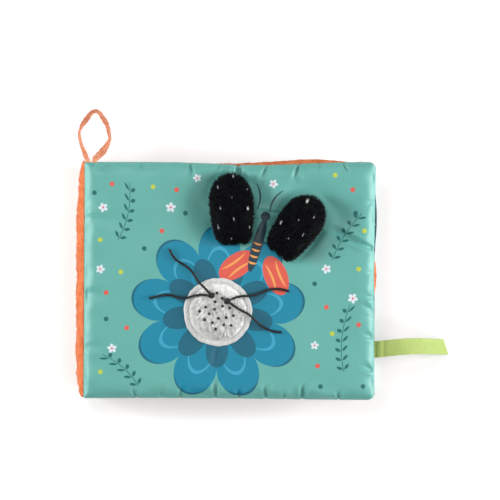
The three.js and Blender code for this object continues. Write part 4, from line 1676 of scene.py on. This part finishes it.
# %% Tape of a binding
POCKET_HALF = (79.0, 54.0)
POCKET_X = 2.0
POCKET_LINE = np.array([(POCKET_X + x * POCKET_HALF[0], y * POCKET_HALF[1])
                        for x, y in ((-1, -1), (1, -1), (1, 1), (-1, 1))])
MITRES = np.array([(0, -1), (1, -1), (1, 1), (0, 1)])
TAPE_SECTION = [
    # beside the tape's middle, above the panel
    (-4, 0.12), (-3.7, 0.26), (-2.6, 0.2), (0, 0.28), (2.6, 0.2), (3.7, 0.26), (4, 0.12),
    (3.7, 0.02), (0, 0.02), (-3.7, 0.02),
]
TAPE_STEPS = (40, 28, 40)


def binding_tape(level, side):
    corner_rings = np.array([
        [(*(middle + offset * mitre), level + side * height) for offset, height in TAPE_SECTION]
        for middle, mitre in zip(POCKET_LINE, MITRES)])
    rings = []
    for start, end, count in zip(corner_rings, corner_rings[1:], TAPE_STEPS):
        share = np.linspace(0, 1, count, endpoint=False)[:, None, None]
        rings.append((1 - share) * start + share * end)
    return loft(np.concatenate([*rings, corner_rings[-1:]]))


print("points in the tape's section:", len(TAPE_SECTION))

# %% Stitches of a binding
BINDING_PITCH = 3.0
BINDING_ROWS = (-2.9, 2.9)
BINDING_STITCH = 0.8
BINDING_THREAD = 0.17
STITCH_LEVEL = 0.26
cream_thread = thread_finish("cream_thread", "#F0DCC4", "#FFF3E2")


def binding_stitches(level, side):
    parts = []
    z = level + side * STITCH_LEVEL
    for offset in BINDING_ROWS:
        line = POCKET_LINE + offset * MITRES
        between = even_spots(line, BINDING_PITCH / 2)
        for spot in even_spots(line, BINDING_PITCH):
            ahead = between[np.argsort(np.linalg.norm(between - spot, axis=1))[1]] - spot
            run = unit(ahead) * BINDING_STITCH
            start, end = np.array([*(spot - run), z]), np.array([*(spot + run), z])
            parts.append(stitch(start, end, BINDING_THREAD, 5))
    return join_parts(parts)


print("thread of the bindings:", cream_thread.name)


# %% Pocket bindings
def make_binding(node_name, body, side):
    low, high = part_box(node_name)
    level = (low.z if side > 0 else high.z) / MM
    tape = binding_tape(level, side)
    points, faces = join_parts([tape, binding_stitches(level, side)])
    piece = add_piece(f"{node_name}_tape", points, faces, [coral_binding, cream_thread],
                      body, "binding_cotton")
    thread_faces = np.arange(len(faces)) >= len(tape[1])
    piece.data.polygons.foreach_set("material_index", thread_faces.astype(np.int32))
    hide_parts(node_name)


for number in LEAF_LEVELS:
    make_binding(f"leaf_{number}_front_binding", f"leaf_{number}", 1)
    make_binding(f"leaf_{number}_back_binding", f"leaf_{number}", -1)
make_binding("front_cover_binding", "front_cover", -1)
make_binding("back_cover_binding", "back_cover", 1)

# %% [markdown]
# The clear pockets keep their CAD shape, a thin flat film. The film lets most light
# through, and its faint ripples show only in the gloss.

# %% Clear film
FILM_RIPPLE = 22.0
FILM_BUMP = 0.6
clear_film, tree, shader = start_finish("clear_film", roughness=0.12, gloss=0.5)
shader.inputs["Alpha"].default_value = 0.18
ripple = grain(tree, own_place(tree), FILM_RIPPLE)
tone = lay_over(tree, ripple, shade("#EAF2F4"), shade("#FFFFFF"))
plug(tree, shader.inputs["Base Color"], tone)
add_bump(tree, shader, ripple, FILM_BUMP)
windows = [film for name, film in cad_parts.items() if name.endswith("_window")]
for film in windows:
    film.data.materials.clear()
    film.data.materials.append(clear_film)
print("clear pockets:", len(windows))

# %% [markdown]
# The two plush flaps are small stuffed pads, sewn to the cover along their straight base
# only. Each is lofted from its outline to a dome, swollen by a short cloth simulation
# and bent down to follow the cover. Thousands of black spikes lean towards the tip, and
# a few pale flecks of yarn are caught in the pile.

# %% Flap finishes
black_plush = nap_finish("black_plush", "#020203", "#07080A", size=0.8, roughness=0.95,
                         sheen=0.05, sheen_colour="#5A6478", depth=0.3)
black_pile = fibre_finish("black_plush_pile", "#000101", "#0A1018", roughness=0.5,
                          sheen=0.04, sheen_colour="#6E7A92")
pale_yarn = fibre_finish("pale_yarn", "#C8CBD0", "#FFFFFF", roughness=0.8, sheen=0.3)
print("flap finishes:", black_plush.name, black_pile.name, pale_yarn.name)

# %% Outline of a flap
FLAP_BASE_HALF = 11.5
FLAP_WIDEST = 31.0
FLAP_POINTS = 112
ARC_POINTS = 60
FLAP_GATHER = 6.0
BASE_NARROWING = 0.34
# reach of the scallops at the gathered base, and the angle of the wave that makes them
SCALLOP, SCALLOP_TURN, SCALLOP_START = 0.9, 0.62, 0.8


def flap_outline(trim):
    """Points round a flap, along it and aside; trim scales its length and width."""
    arc = np.linspace(0, math.pi / 2, ARC_POINTS)
    lower = np.column_stack([FLAP_WIDEST * arc * 2 / math.pi,
                             FLAP_BASE_HALF + (FLAP_HALF - FLAP_BASE_HALF) * np.sin(arc)])
    tip = np.column_stack([FLAP_WIDEST + (FLAP_LENGTH - FLAP_WIDEST) * np.sin(arc),
                           FLAP_HALF * np.cos(arc)])
    upper = np.vstack([lower, tip[1:]])
    line = np.vstack([upper * (1, -1), upper[-2::-1]])
    line = np.vstack([line, line[:1]])
    run = path_run(line)
    spots = np.linspace(0, run[-1], FLAP_POINTS, endpoint=False)
    along, aside = (np.interp(spots, run, line[:, i]) for i in (0, 1))
    base = np.clip(1 - along / FLAP_GATHER, 0, 1)
    along = along + base * (SCALLOP - SCALLOP * np.cos(SCALLOP_TURN * aside + SCALLOP_START))
    aside = aside * (1 - BASE_NARROWING * base**2)
    return np.column_stack([along * trim[0], aside * trim[1]])


print("points round a flap:", len(flap_outline((1, 1))))

# %% Rings of a flap
FLAP_RISE = 6.5
FLAP_SHOULDER = 13.0
FLAP_UNDER = 1.5
FLAP_FLOOR = [(6.0, -1.5), (1.6, -1.5), (0.3, -1.5 * 0.7), (0, -0.3)]
FLAP_TOP_SHARES = (0.9, 0.95, 0.985)
DOME_RINGS = 15
DOME_START = 0.15
FLAP_DROP = 0.8


def flap_rings(trim):
    outline, middle = flap_outline(trim), np.array([FLAP_LENGTH / 2, 0])
    levels = list(FLAP_FLOOR)
    for angle in np.linspace(0, math.pi / 2, DOME_RINGS):
        height = DOME_START + (FLAP_RISE - DOME_START) * math.sin(angle)
        levels.append((FLAP_SHOULDER * (1 - math.cos(angle)), height))
    levels += [(share * FLAP_HALF, FLAP_RISE) for share in FLAP_TOP_SHARES]
    rings = []
    for depth, height in levels:
        ring = middle + (outline - middle) * (1 - depth / FLAP_HALF)
        rings.append(np.column_stack([ring, np.full(len(ring), height)]))
    return np.array(rings)


def place_flap(points, x, y, direction):
    """From the flap's own frame to the cover, bent down where the cover falls away."""
    aim = math.radians(direction)
    world_x = x + points[:, 0] * math.cos(aim) - points[:, 1] * math.sin(aim)
    world_y = y + points[:, 0] * math.sin(aim) + points[:, 1] * math.cos(aim)
    seam = FRONT_SEAM + front_rise(x, y) + SOFT_GAP + FLAP_UNDER
    drop = np.maximum(front_rise(x, y) - front_rise(world_x, world_y), 0)
    return np.column_stack([world_x, world_y, seam + points[:, 2] - FLAP_DROP * drop])


print("rings in a flap:", len(flap_rings((1, 1))))

# %% Pad of a flap
PAD_HELD = (0.3, 0.15)
PAD_PRESSURE = 1.5
PAD_MOST = 0.8
PAD_LUMP = (0.4, 9)
GATHER_LUMP = 0.7
GATHER_REACH = 9
GATHER_TURN = 1.15
PAD_BUMP_START = 3


def flap_pad(trim, seed):
    """Points and faces of a stuffed flap in its own frame, gathered at its base."""
    points, faces = loft(flap_rings(trim))
    height = points[:, 2]
    hold = np.where(height < PAD_HELD[0], 1.0, PAD_HELD[1])
    outward = [face[::-1] for face in faces]
    moved = settle_cloth(points, outward, hold, 0 * height, PAD_PRESSURE, 0.0) - points
    points = points + np.clip(moved, -PAD_MOST, PAD_MOST)
    gathers = np.exp(-points[:, 0] / GATHER_REACH) * np.sin(GATHER_TURN * points[:, 1] + seed)
    bumps = PAD_LUMP[0] * lumps(points, PAD_LUMP[1], seed) + GATHER_LUMP * gathers
    points[:, 2] += bumps * smooth_step(points[:, 2] / PAD_BUMP_START)
    return points, faces


print("a flap's cloth moves at most", PAD_MOST, "mm")

# %% Pile of a flap
FLAP_FIBRES = 15000
FLAP_COMB = np.array([0.8, 0, 0.05])
TUFT_SIZE, TUFT_SHARE = 3.4, 0.55
PILE_FROM = -0.6
PAD_MIDDLE = (FLAP_LENGTH / 2, 0, 1)


def flap_pile(points, faces, seed, generator):
    """Black fibres in the flap's own frame, in tufts combed towards its tip."""
    roots, normals = scatter(points, faces, FLAP_FIBRES, generator)
    normals *= np.sign(((roots - PAD_MIDDLE) * normals).sum(1, keepdims=True))
    keep = roots[:, 2] > PILE_FROM
    roots, normals = roots[keep], normals[keep]
    tufted = np.column_stack([lumps(roots, TUFT_SIZE, seed + i) for i in (1, 2, 3)])
    combed = normals + FLAP_COMB + TUFT_SHARE * tufted
    return short_nap(generator, roots, combed, disorder=0.2, lengths=(1.3, 2.9), thickness=0.14)


print("fibres on a flap:", FLAP_FIBRES)

# %% Flecks of a flap
YARN_COUNT = 7
YARN_SPREAD = (0.3, 0.22, 0.12)
YARN_LIE = (1.0, 0.1, 0.12)
YARN_DISORDER = 0.12
YARN_LENGTH = (1.4, 2.4)
YARN_THICKNESS = 0.22
YARN_BACK, YARN_LIFT, YARN_LIFT_MORE = 0.8, 0.9, 0.3
UNDERSIDE, FAR_PENALTY = 0.2, 50


def flap_flecks(points, flecks, generator):
    tufts = []
    shape = (YARN_COUNT, 3)
    for along, aside, size in flecks:
        gap = np.hypot(points[:, 0] - along, points[:, 1] - aside)
        spot = points[np.argmin(gap + FAR_PENALTY * (points[:, 2] < UNDERSIDE))]
        start = np.array([along - YARN_BACK * size, aside,
                          spot[2] + YARN_LIFT + YARN_LIFT_MORE * size])
        starts = start + size * generator.normal(size=shape) * YARN_SPREAD
        lie = np.tile(YARN_LIE, (YARN_COUNT, 1)) + YARN_DISORDER * generator.normal(size=shape)
        lengths = size * generator.uniform(*YARN_LENGTH, YARN_COUNT)
        tufts.append(grow_pile(starts, lie, lengths, YARN_THICKNESS * size, generator))
    return join_parts(tufts)


print("threads in a fleck:", YARN_COUNT)

# %% Flaps
FLECKS = {
    # seed, shares of the outline's length and width; then place along, place aside and size
    "left_flap": (31, (0.96, 0.94), [
        (46.7, -2.6, 1.1), (39.9, 8.4, 1.0), (37.4, -11.5, 0.6), (32.3, -0.7, 0.6),
        (25.7, 7.7, 1.0), (24.4, -10.9, 1.4), (18.1, -1.1, 1.0), (13.0, 9.7, 1.3),
        (11.5, -11.3, 1.0), (4.5, 1.2, 0.6)]),
    "right_flap": (37, (0.925, 0.925), [
        (41.8, 4.4, 1.4), (19.3, 10.4, 1.4), (27.7, 1.9, 0.6), (35.3, -5.6, 1.0),
        (21.4, -6.7, 1.0), (13.5, 0.0, 0.6)]),
}


def make_flap(name, place, seed, trim, flecks):
    points, faces = flap_pad(trim, seed)
    pad = add_piece(f"{name}_pad", place_flap(points, *place), faces, [black_plush],
                    name, "black_plush")
    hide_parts(f"{name}_plush", f"{name}_filling", f"{name}_backing")
    generator = np.random.default_rng(seed)
    pile_points, pile_faces = flap_pile(points, faces, seed, generator)
    add_piece(f"{name}_pile", place_flap(pile_points, *place), pile_faces, [black_pile],
              name, "black_plush")
    yarn_points, yarn_faces = flap_flecks(points, flecks, generator)
    add_piece(f"{name}_flecks", place_flap(yarn_points, *place), yarn_faces, [pale_yarn],
              name, "white_plush")


for name, details in FLECKS.items():
    make_flap(name, FLAP_BASES[name], *details)

# %% [markdown]
# The round patch is white plush: a flat sewn margin, and inside it a longer pile that has
# been combed down towards the tail. Its furrows are real relief in a polar grid, and
# longer bent fibres lie on top of them.

# %% Patch finishes
white_pile = fibre_finish("white_plush_pile", "#F7F6F2", "#FFFFFD", roughness=0.9, sheen=0.2)
COMB_DRAW = (1, 0.1, 1)
COMB_TURN = math.radians(12)
STREAK_SIZE = 2.0
STREAK_LIMITS = (0.38, 0.62)
STREAK_BUMP = 0.35
white_plush, tree, shader = start_finish("white_plush", roughness=0.95, gloss=0.15, sheen=0.15)
place = own_place(tree)
combed = node(tree, "VectorMath", {0: place, 1: COMB_DRAW}, operation="MULTIPLY")
combed = node(tree, "Mapping", {"Vector": combed, "Rotation": (0, 0, COMB_TURN)})
streaks = grain(tree, combed, STREAK_SIZE, 3.0)
spread = spread_out(tree, streaks, STREAK_LIMITS)
# The pile and the margin are one white plush. The pile's tone is painted lighter to offset the shade
# between its fibres, and the margin's tone is painted darker to offset the light on its short
# standing fibres: painted light and painted shade.
pile_painted_light_tone = lay_over(tree, spread, shade("#F3F2EF"), shade("#FFFFFD"))
margin_painted_shade_tone = lay_over(tree, spread, shade("#CDCECC"), shade("#E0E1DF"))
flat_place = node(tree, "VectorMath", {0: place, 1: (1 / MM, 1 / MM, 0)}, operation="MULTIPLY")
to_centre = {0: flat_place, 1: (*PATCH, 0)}
reach = node(tree, "VectorMath", to_centre, operation="DISTANCE").node.outputs["Value"]
on_margin = soft_edge(tree, calc(tree, "SUBTRACT", reach, PATCH_RADIUS - PATCH_MARGIN))
plug(tree, shader.inputs["Base Color"], lay_over(tree, on_margin, pile_painted_light_tone, margin_painted_shade_tone))
add_bump(tree, shader, streaks, STREAK_BUMP)
print("patch finishes:", white_plush.name, white_pile.name)

# %% Relief of the patch
PATCH_EDGE = 1.1
PILE_EDGE = PATCH_RADIUS - PATCH_MARGIN
MARGIN_ROUND = 1
GROOVE_DEPTH, GROOVE_WIDTH = 0.8, 0.7
DOME_SQUARENESS = 8
COMB_SLANT, COMB_WAVE, COMB_WAVE_TURN = 0.25, 1.2, 0.21
COMB_STRETCH = 0.22
FURROWS = [(0.45, 2.6, 51), (0.1, 6.0, 52)]
FURROW_EASE = 2
FURROW_SHARE = 0.4
LEAST_LIFT = SOFT_GAP + 0.05


def patch_lift(radius, x, y):
    beyond = np.clip((radius - PATCH_RADIUS + MARGIN_ROUND) / MARGIN_ROUND, 0, 1)
    margin = PATCH_EDGE * np.sqrt(np.clip(1 - beyond**2, 0, 1))
    groove = GROOVE_DEPTH * np.exp(-((radius - PILE_EDGE) / GROOVE_WIDTH) ** 2)
    full = np.sqrt(np.clip(1 - (radius / PILE_EDGE) ** DOME_SQUARENESS, 0, 1))
    dome = (PILE_HEIGHT - PATCH_EDGE) * full
    comb_x = x + COMB_SLANT * (y - PATCH[1]) + COMB_WAVE * np.sin(COMB_WAVE_TURN * y)
    streak = np.column_stack([comb_x, COMB_STRETCH * y, 0 * x])
    furrow = sum(height * lumps(streak, size, seed) for height, size, seed in FURROWS)
    furrow *= 1 - smooth_step((radius - PILE_EDGE + FURROW_EASE) / FURROW_EASE)
    return np.maximum(margin - groove + dome + FURROW_SHARE * furrow, LEAST_LIFT)


print("furrows come in", len(FURROWS), "sizes")

# %% Patch
PATCH_AROUND = 144
PATCH_WAVES = [(0.006, 5, 1), (0.006, 11, 0), (0.004, 23, 0)]
UNDER_RADII = [2.0, 12.0, 22.8]
TOP_RADII = [*np.linspace(PATCH_RADIUS, PATCH_RADIUS - 1.2, 6),
             *np.linspace(PATCH_RADIUS - 1.6, 0.5, 52)]
turn = full_turn(PATCH_AROUND)
uneven = 1 + 0 * turn
for height, waves, start in PATCH_WAVES:
    uneven += height * np.sin(waves * turn + start)
rings = []
for number, radius in enumerate([*UNDER_RADII, *TOP_RADII]):
    x = PATCH[0] + radius * uneven * np.cos(turn)
    y = PATCH[1] + radius * uneven * np.sin(turn)
    lift = SOFT_GAP + 0 * x
    if number >= len(UNDER_RADII):
        lift = patch_lift(np.full_like(x, radius), x, y)
    rings.append(np.column_stack([x, y, FRONT_SEAM + front_rise(x, y) + lift]))
points, faces = loft(np.array(rings))
patch = add_piece("plush_patch_cloth", points, faces, [white_plush], "front_cover", "white_plush")
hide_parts("plush_patch")

# %% Pile of the patch
PATCH_FIBRES = 3600
FIRST_RING = 9
PILE_INSET = 0.6
LOCK_SHARE = 0.4
FAN_SPREAD, FAN_SLANT, FAN_WAVER = 0.03, -0.2, 0.22
LYING, STANDING = 0.06, 0.7
LYING_DISORDER, STANDING_DISORDER = 0.05, 0.5
PATCH_NAP = (0.4, 0.9)
LONG_PILE, LONG_LOCK = 5.0, 2.0
LOCK_THICKNESS, PATCH_THICKNESS = 0.32, 0.18
MOST_BEYOND, SHORTENED = 0.5, 0.9
generator = np.random.default_rng(61)
top_faces = [face for face in faces if min(face) >= FIRST_RING * PATCH_AROUND]
roots, normals = scatter(points, top_faces, PATCH_FIBRES, generator)
normals *= np.sign(normals[:, 2:])
from_middle = roots - (*PATCH, 0)
inside = np.hypot(*from_middle.T[:2]) < PILE_EDGE - PILE_INSET
lock = inside & (generator.random(len(roots)) < LOCK_SHARE)
fan_x = FAN_SPREAD * from_middle[:, 0] + FAN_SLANT + FAN_WAVER * lumps(roots, 12, 62)
fan = np.column_stack([fan_x, np.full(len(roots), -1.0), 0 * fan_x])
aims = np.where(inside[:, None], fan + LYING * normals, STANDING * normals)
disorder = np.where(inside[:, None], LYING_DISORDER, STANDING_DISORDER)
aims += disorder * generator.normal(size=roots.shape)
lengths = generator.uniform(*PATCH_NAP, len(roots)) * np.where(inside, LONG_PILE, 1.0)
lengths *= np.where(lock, LONG_LOCK, 1.0)
beyond = np.hypot(*(from_middle + unit(aims) * lengths[:, None]).T[:2])
lengths = np.where(inside & (beyond > PILE_EDGE + MOST_BEYOND), SHORTENED, lengths)
thickness = np.where(lock, LOCK_THICKNESS, PATCH_THICKNESS)[:, None]
pile = grow_pile(roots, aims, lengths, thickness, generator)
nap = add_piece("plush_patch_pile", *pile, [white_pile], "front_cover", "white_plush")

# %% [markdown]
# The patch is the flower's middle, so a spiral of seeds is sewn on it in black thread. A
# seed is a knot of two turns, placed by the angle that sunflowers use. Seeds that would
# lie under a cord are left out.

# %% Seed stitches
SEED_COUNT = 19
SEED_ANGLE = math.radians(137.5)
SEED_SPACING = 3.0
SEED_RADIUS = 0.48
SEED_THREAD = 1.2
SEED_TURNS, SEED_STEPS, SEED_SIDES = 2.2, 34, 8
SEED_TAPER, SEED_LIFT, SEED_CLIMB = 0.3, 0.3, 0.5
SEED_ENDS, SEED_FULLNESS = (0.08, 0.92), 0.3
CORD_CLEARANCE = 3.0
cord_spots = np.vstack([*CORD_ROUTES, [knot[:2] for knot in KNOTS.values()]])


def seed_knot(x, y):
    wind = np.linspace(0, 2 * math.pi * SEED_TURNS, SEED_STEPS)
    radius = SEED_RADIUS * (1 - SEED_TAPER * wind / wind[-1])
    bed = FRONT_SEAM + front_rise(x, y) + PILE_HEIGHT + SEED_LIFT
    level = bed + SEED_CLIMB * wind / wind[-1]
    path = np.column_stack([x + radius * np.cos(wind), y + radius * np.sin(wind), level])
    turn = full_turn(SEED_SIDES)[None]
    ends = np.sin(math.pi * np.linspace(*SEED_ENDS, SEED_STEPS)) ** SEED_FULLNESS
    thick = (0.5 * SEED_THREAD * ends)[:, None]
    return sweep(path, thick * np.cos(turn), thick * np.sin(turn))


seeds = []
for number in range(1, SEED_COUNT + 1):
    reach, turn = SEED_SPACING * math.sqrt(number), number * SEED_ANGLE
    x, y = PATCH[0] + reach * math.cos(turn), PATCH[1] + reach * math.sin(turn)
    if np.linalg.norm(cord_spots - (x, y), axis=1).min() >= CORD_CLEARANCE:
        seeds.append(seed_knot(x, y))
add_piece("patch_seed_stitches", *join_parts(seeds), [waxed_cord], "front_cover", "black_cord")

# %% [markdown]
# The hanging loop is a narrow velour strap, both ends in the head seam by the spine. It
# droops to the table and twists on the way, so from above it shows now its face and now
# its edge. It is swept along the CAD loop's line with a flat section that turns.

# %% Line of the loop
strap_velour = nap_finish("strap_velour", "#CB6436", "#F9B892", size=1.6, roughness=0.95,
                          sheen=0.35, sheen_colour="#FFE2CC", depth=0.3)
strap_pile = fibre_finish("strap_pile", "#DC7042", "#FCCFB2", roughness=0.9,
                          sheen=0.35, sheen_colour="#FFE2CC")
LOOP_PIVOT = (-94.4, 82.3, 29.5)
LOOP_SLOPE = math.radians(-36.68)
LOOP_LINE = [
    # beside the pivot, down the slope, and the strap's twist in degrees
    (-2.6, 0, 12), (-4.8, 6.6, 52), (-7.2, 13.7, 64), (-8.9, 22.9, 84), (-7.8, 28.3, 66),
    (-5.0, 34.4, 32), (-2.4, 39.4, 42), (-0.2, 42.3, 56), (2.4, 42.9, 58), (4.8, 41.0, 50),
    (7.6, 35.8, 44), (10.4, 29.4, 66), (11.5, 22.9, 72), (12.2, 18.1, 78), (10, 12.1, 30),
    (7, 6.6, 4), (3.4, 2, 8), (2.2, 0, 8),
]
LOOP_STEPS = 170
line = route_through(LOOP_LINE, LOOP_STEPS)
downhill = line[:, 1]
path = np.column_stack([line[:, 0], downhill * math.cos(LOOP_SLOPE),
                        downhill * math.sin(LOOP_SLOPE)])
path += LOOP_PIVOT
print(f"the loop's line is {path_run(path)[-1]:.0f} mm long")

# %% Hanging loop
STRAP_HALF = (2.1, 0.65)
STRAP_SIDES = 20
STRAP_SQUARENESS = 0.7
STRAP_GATHER, GATHER_LENGTH = 0.3, 3
WIDTH_LUMP, FACE_LUMP = 0.12, 0.15
ABOVE_TABLE = 0.3
turn = full_turn(STRAP_SIDES)[None]
twist = np.radians(line[:, 2:])
wide = STRAP_HALF[0] * np.sign(np.cos(turn)) * np.abs(np.cos(turn)) ** STRAP_SQUARENESS
thick = STRAP_HALF[1] * np.sin(turn)
uneven = 1 + WIDTH_LUMP * lumps(path, 5, 71)[:, None]
uneven *= 1 - STRAP_GATHER * np.exp(-line[:, 1:2] / GATHER_LENGTH)
across = uneven * (wide * np.cos(twist) - thick * np.sin(twist))
lift = uneven * (wide * np.sin(twist) + thick * np.cos(twist))
points, faces = sweep(path, across, lift)
outward = unit(points - np.repeat(path, STRAP_SIDES, 0))
points += FACE_LUMP * lumps(points, 1.8, 72)[:, None] * outward
points[:, 2] = np.maximum(points[:, 2], ABOVE_TABLE)
loop = add_piece("hanging_strap", points, faces, [strap_velour], "loop", "orange_velour")
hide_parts("hanging_loop")

# %% Nap of the loop
STRAP_FIBRES = 5000
generator = np.random.default_rng(73)
roots, normals = scatter(points, faces, STRAP_FIBRES, generator)
nearest = np.array([path[np.argmin(np.linalg.norm(path - root, axis=1))] for root in roots])
normals *= np.sign(((roots - nearest) * normals).sum(1, keepdims=True))
pile = short_nap(generator, roots, normals, disorder=0.5, lengths=(0.35, 0.8), thickness=0.12)
add_piece("hanging_strap_nap", *pile, [strap_pile], "loop", "orange_velour")

# %% [markdown]
# The strap's two ends stay in the seam when the loop swings, so they are a piece of their
# own that rides on the cover.

# %% Ends of the loop
STRAP_ENDS = [(-95.6, -97.0), (-93.0, -91.8)]
END_HALF = (1.7, 0.8)
STRAP_END_STEPS = 14
ends = []
for seam_x, pivot_x in STRAP_ENDS:
    path = route_through([(seam_x, 78.5, 29.6), (0.5 * (seam_x + pivot_x), 80.6, 29.7),
                          (pivot_x, 82.3, 29.5), (pivot_x, 83.2, 28.9)], STRAP_END_STEPS)
    across = END_HALF[0] * np.cos(turn) + 0 * path[:, :1]
    lift = END_HALF[1] * np.sin(turn) + 0 * path[:, :1]
    ends.append(sweep(path, across, lift))
add_piece("hanging_strap_ends", *join_parts(ends), [strap_velour], "front_cover", "orange_velour")

# %% [markdown]
# The tag is one piece of lime ribbon, folded in two at its far end and sewn into the
# fore-edge seam. It leaves the seam level, drapes over and lies down on the table. The
# section is swept through both layers and round the fold, so the ribbon really is double.

# %% Ribbon finish
RIB_SCALES = (480.0, 900.0)
RIB_DISTORTION = 0.3
RIB_MIX = (0.3, 0.7)
RIB_BUMP = 0.05
WORN_SIZE = 3.0
lime_ribbon, tree, shader = start_finish(
    "lime_ribbon", roughness=0.5, gloss=0.35, sheen=0.2, sheen_colour="#F4FFD0")
place = own_place(tree)
ribs, cross = (node(tree, "TexWave", {"Vector": place, "Scale": scale, "Distortion": RIB_DISTORTION},
                    bands_direction=direction) for scale, direction in zip(RIB_SCALES, "XY"))
mixed = mix_two(tree, ribs, grain(tree, place, WORN_SIZE, 3.0), RIB_MIX)
plug(tree, shader.inputs["Base Color"], lay_over(tree, mixed, shade("#98AD54"), shade("#B2C671")))
add_bump(tree, shader, calc(tree, "ADD", ribs, cross), RIB_BUMP)
print("finish:", lime_ribbon.name)

# %% Line of the ribbon
TAG_PIVOT = np.array([100.245, -46.8, 29.5])
TAG_REACH = 48.6
TAG_DROP = 28.4
TAG_LIFT = 12.0
TAG_STEPS = 90
LAYER_GAP = 0.32
LAYER_PUFF = 0.25
FOLD_STEPS = 9
FOLD_BULGE = 1.2
# creases across the tag near its seam: depth, place and width as shares of its length
TAG_CREASES = [(0.5, 0.11, 0.025), (-0.3, 0.05, 0.02)]
share = np.linspace(0, 1, TAG_STEPS)
crease = sum(depth * np.exp(-((share - spot) / width) ** 2) for depth, spot, width in TAG_CREASES)
drape = (TAG_DROP + TAG_LIFT) * share**2 - TAG_LIFT * share
middle = np.column_stack([TAG_REACH * share, 0 * share, -drape])
slope = unit(np.gradient(middle, axis=0))
above = np.column_stack([-slope[:, 2], 0 * share, slope[:, 0]])
puff = LAYER_GAP + LAYER_PUFF * np.sin(math.pi * share) ** 2
top_layer = middle + above * (puff - crease)[:, None]
low_layer = middle - above * LAYER_GAP
bend = np.linspace(math.pi / 2, -math.pi / 2, FOLD_STEPS)[1:-1, None]
fold = np.sin(bend) * above[-1] + FOLD_BULGE * np.cos(bend) * slope[-1]
ribbon = np.vstack([top_layer, middle[-1] + LAYER_GAP * fold, low_layer[::-1]])
print("points along both layers:", len(ribbon))

# %% Ribbon tag
TAG_HALF = 5.65
TAG_SLANT = 0.31
TAG_NARROWING = 0.05
TAG_BOW, BOW_FULLNESS, TAG_ASIDE = 1.5, 1.2, 0.9
RIBBON_HALF = 0.22
TAG_ABOVE_TABLE = 0.2
# the ribbon's section as shares of its half width and half thickness, with thicker edges
edge = np.array([-1, -0.97, -0.9, -0.5, 0, 0.5, 0.9, 0.97, 1, 0.97, 0.9, 0.5, 0, -0.5, -0.9, -0.97])
body = np.array([0, 1, 0.75, 0.7, 0.75, 0.7, 0.75, 1, 0, -1, -0.75, -0.7, -0.75, -0.7, -0.75, -1])
reach = np.clip(ribbon[:, :1] / TAG_REACH, 0, 1)
bow = TAG_BOW * np.sin(math.pi * reach[:, 0]) ** BOW_FULLNESS
bow += TAG_ASIDE * ribbon[:, 0] / TAG_REACH
ribbon_path = ribbon + np.column_stack([0 * bow, bow, 0 * bow]) + TAG_PIVOT
outward = np.cross(unit(np.gradient(ribbon_path, axis=0)), (0, 1, 0))
aside = TAG_HALF * (1 - TAG_NARROWING * reach) * edge
rings = ribbon_path[:, None] + aside[..., None] * np.array([0, 1, 0])
rings = rings + (RIBBON_HALF * body)[None, :, None] * outward[:, None]
rings[..., 0] -= TAG_SLANT * reach**2 * TAG_HALF * edge
rings[..., 2] = np.maximum(rings[..., 2], TAG_ABOVE_TABLE)
tag = add_piece("folded_ribbon", *loft(rings), [lime_ribbon], "tag", "lime_ribbon")
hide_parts("ribbon_tag")

# %% Root of the ribbon
ROOT_X = np.array([96.0, 98.0, 100.0, 100.9])
ROOT_LAYERS = 1.9
root_path = np.column_stack([ROOT_X, 0 * ROOT_X, 0 * ROOT_X]) + (0, *TAG_PIVOT[1:])
across = TAG_HALF * edge + 0 * root_path[:, :1]
lift = ROOT_LAYERS * RIBBON_HALF * body + 0 * root_path[:, :1]
add_piece("folded_ribbon_root", *sweep(root_path, across, lift), [lime_ribbon],
          "front_cover", "lime_ribbon")
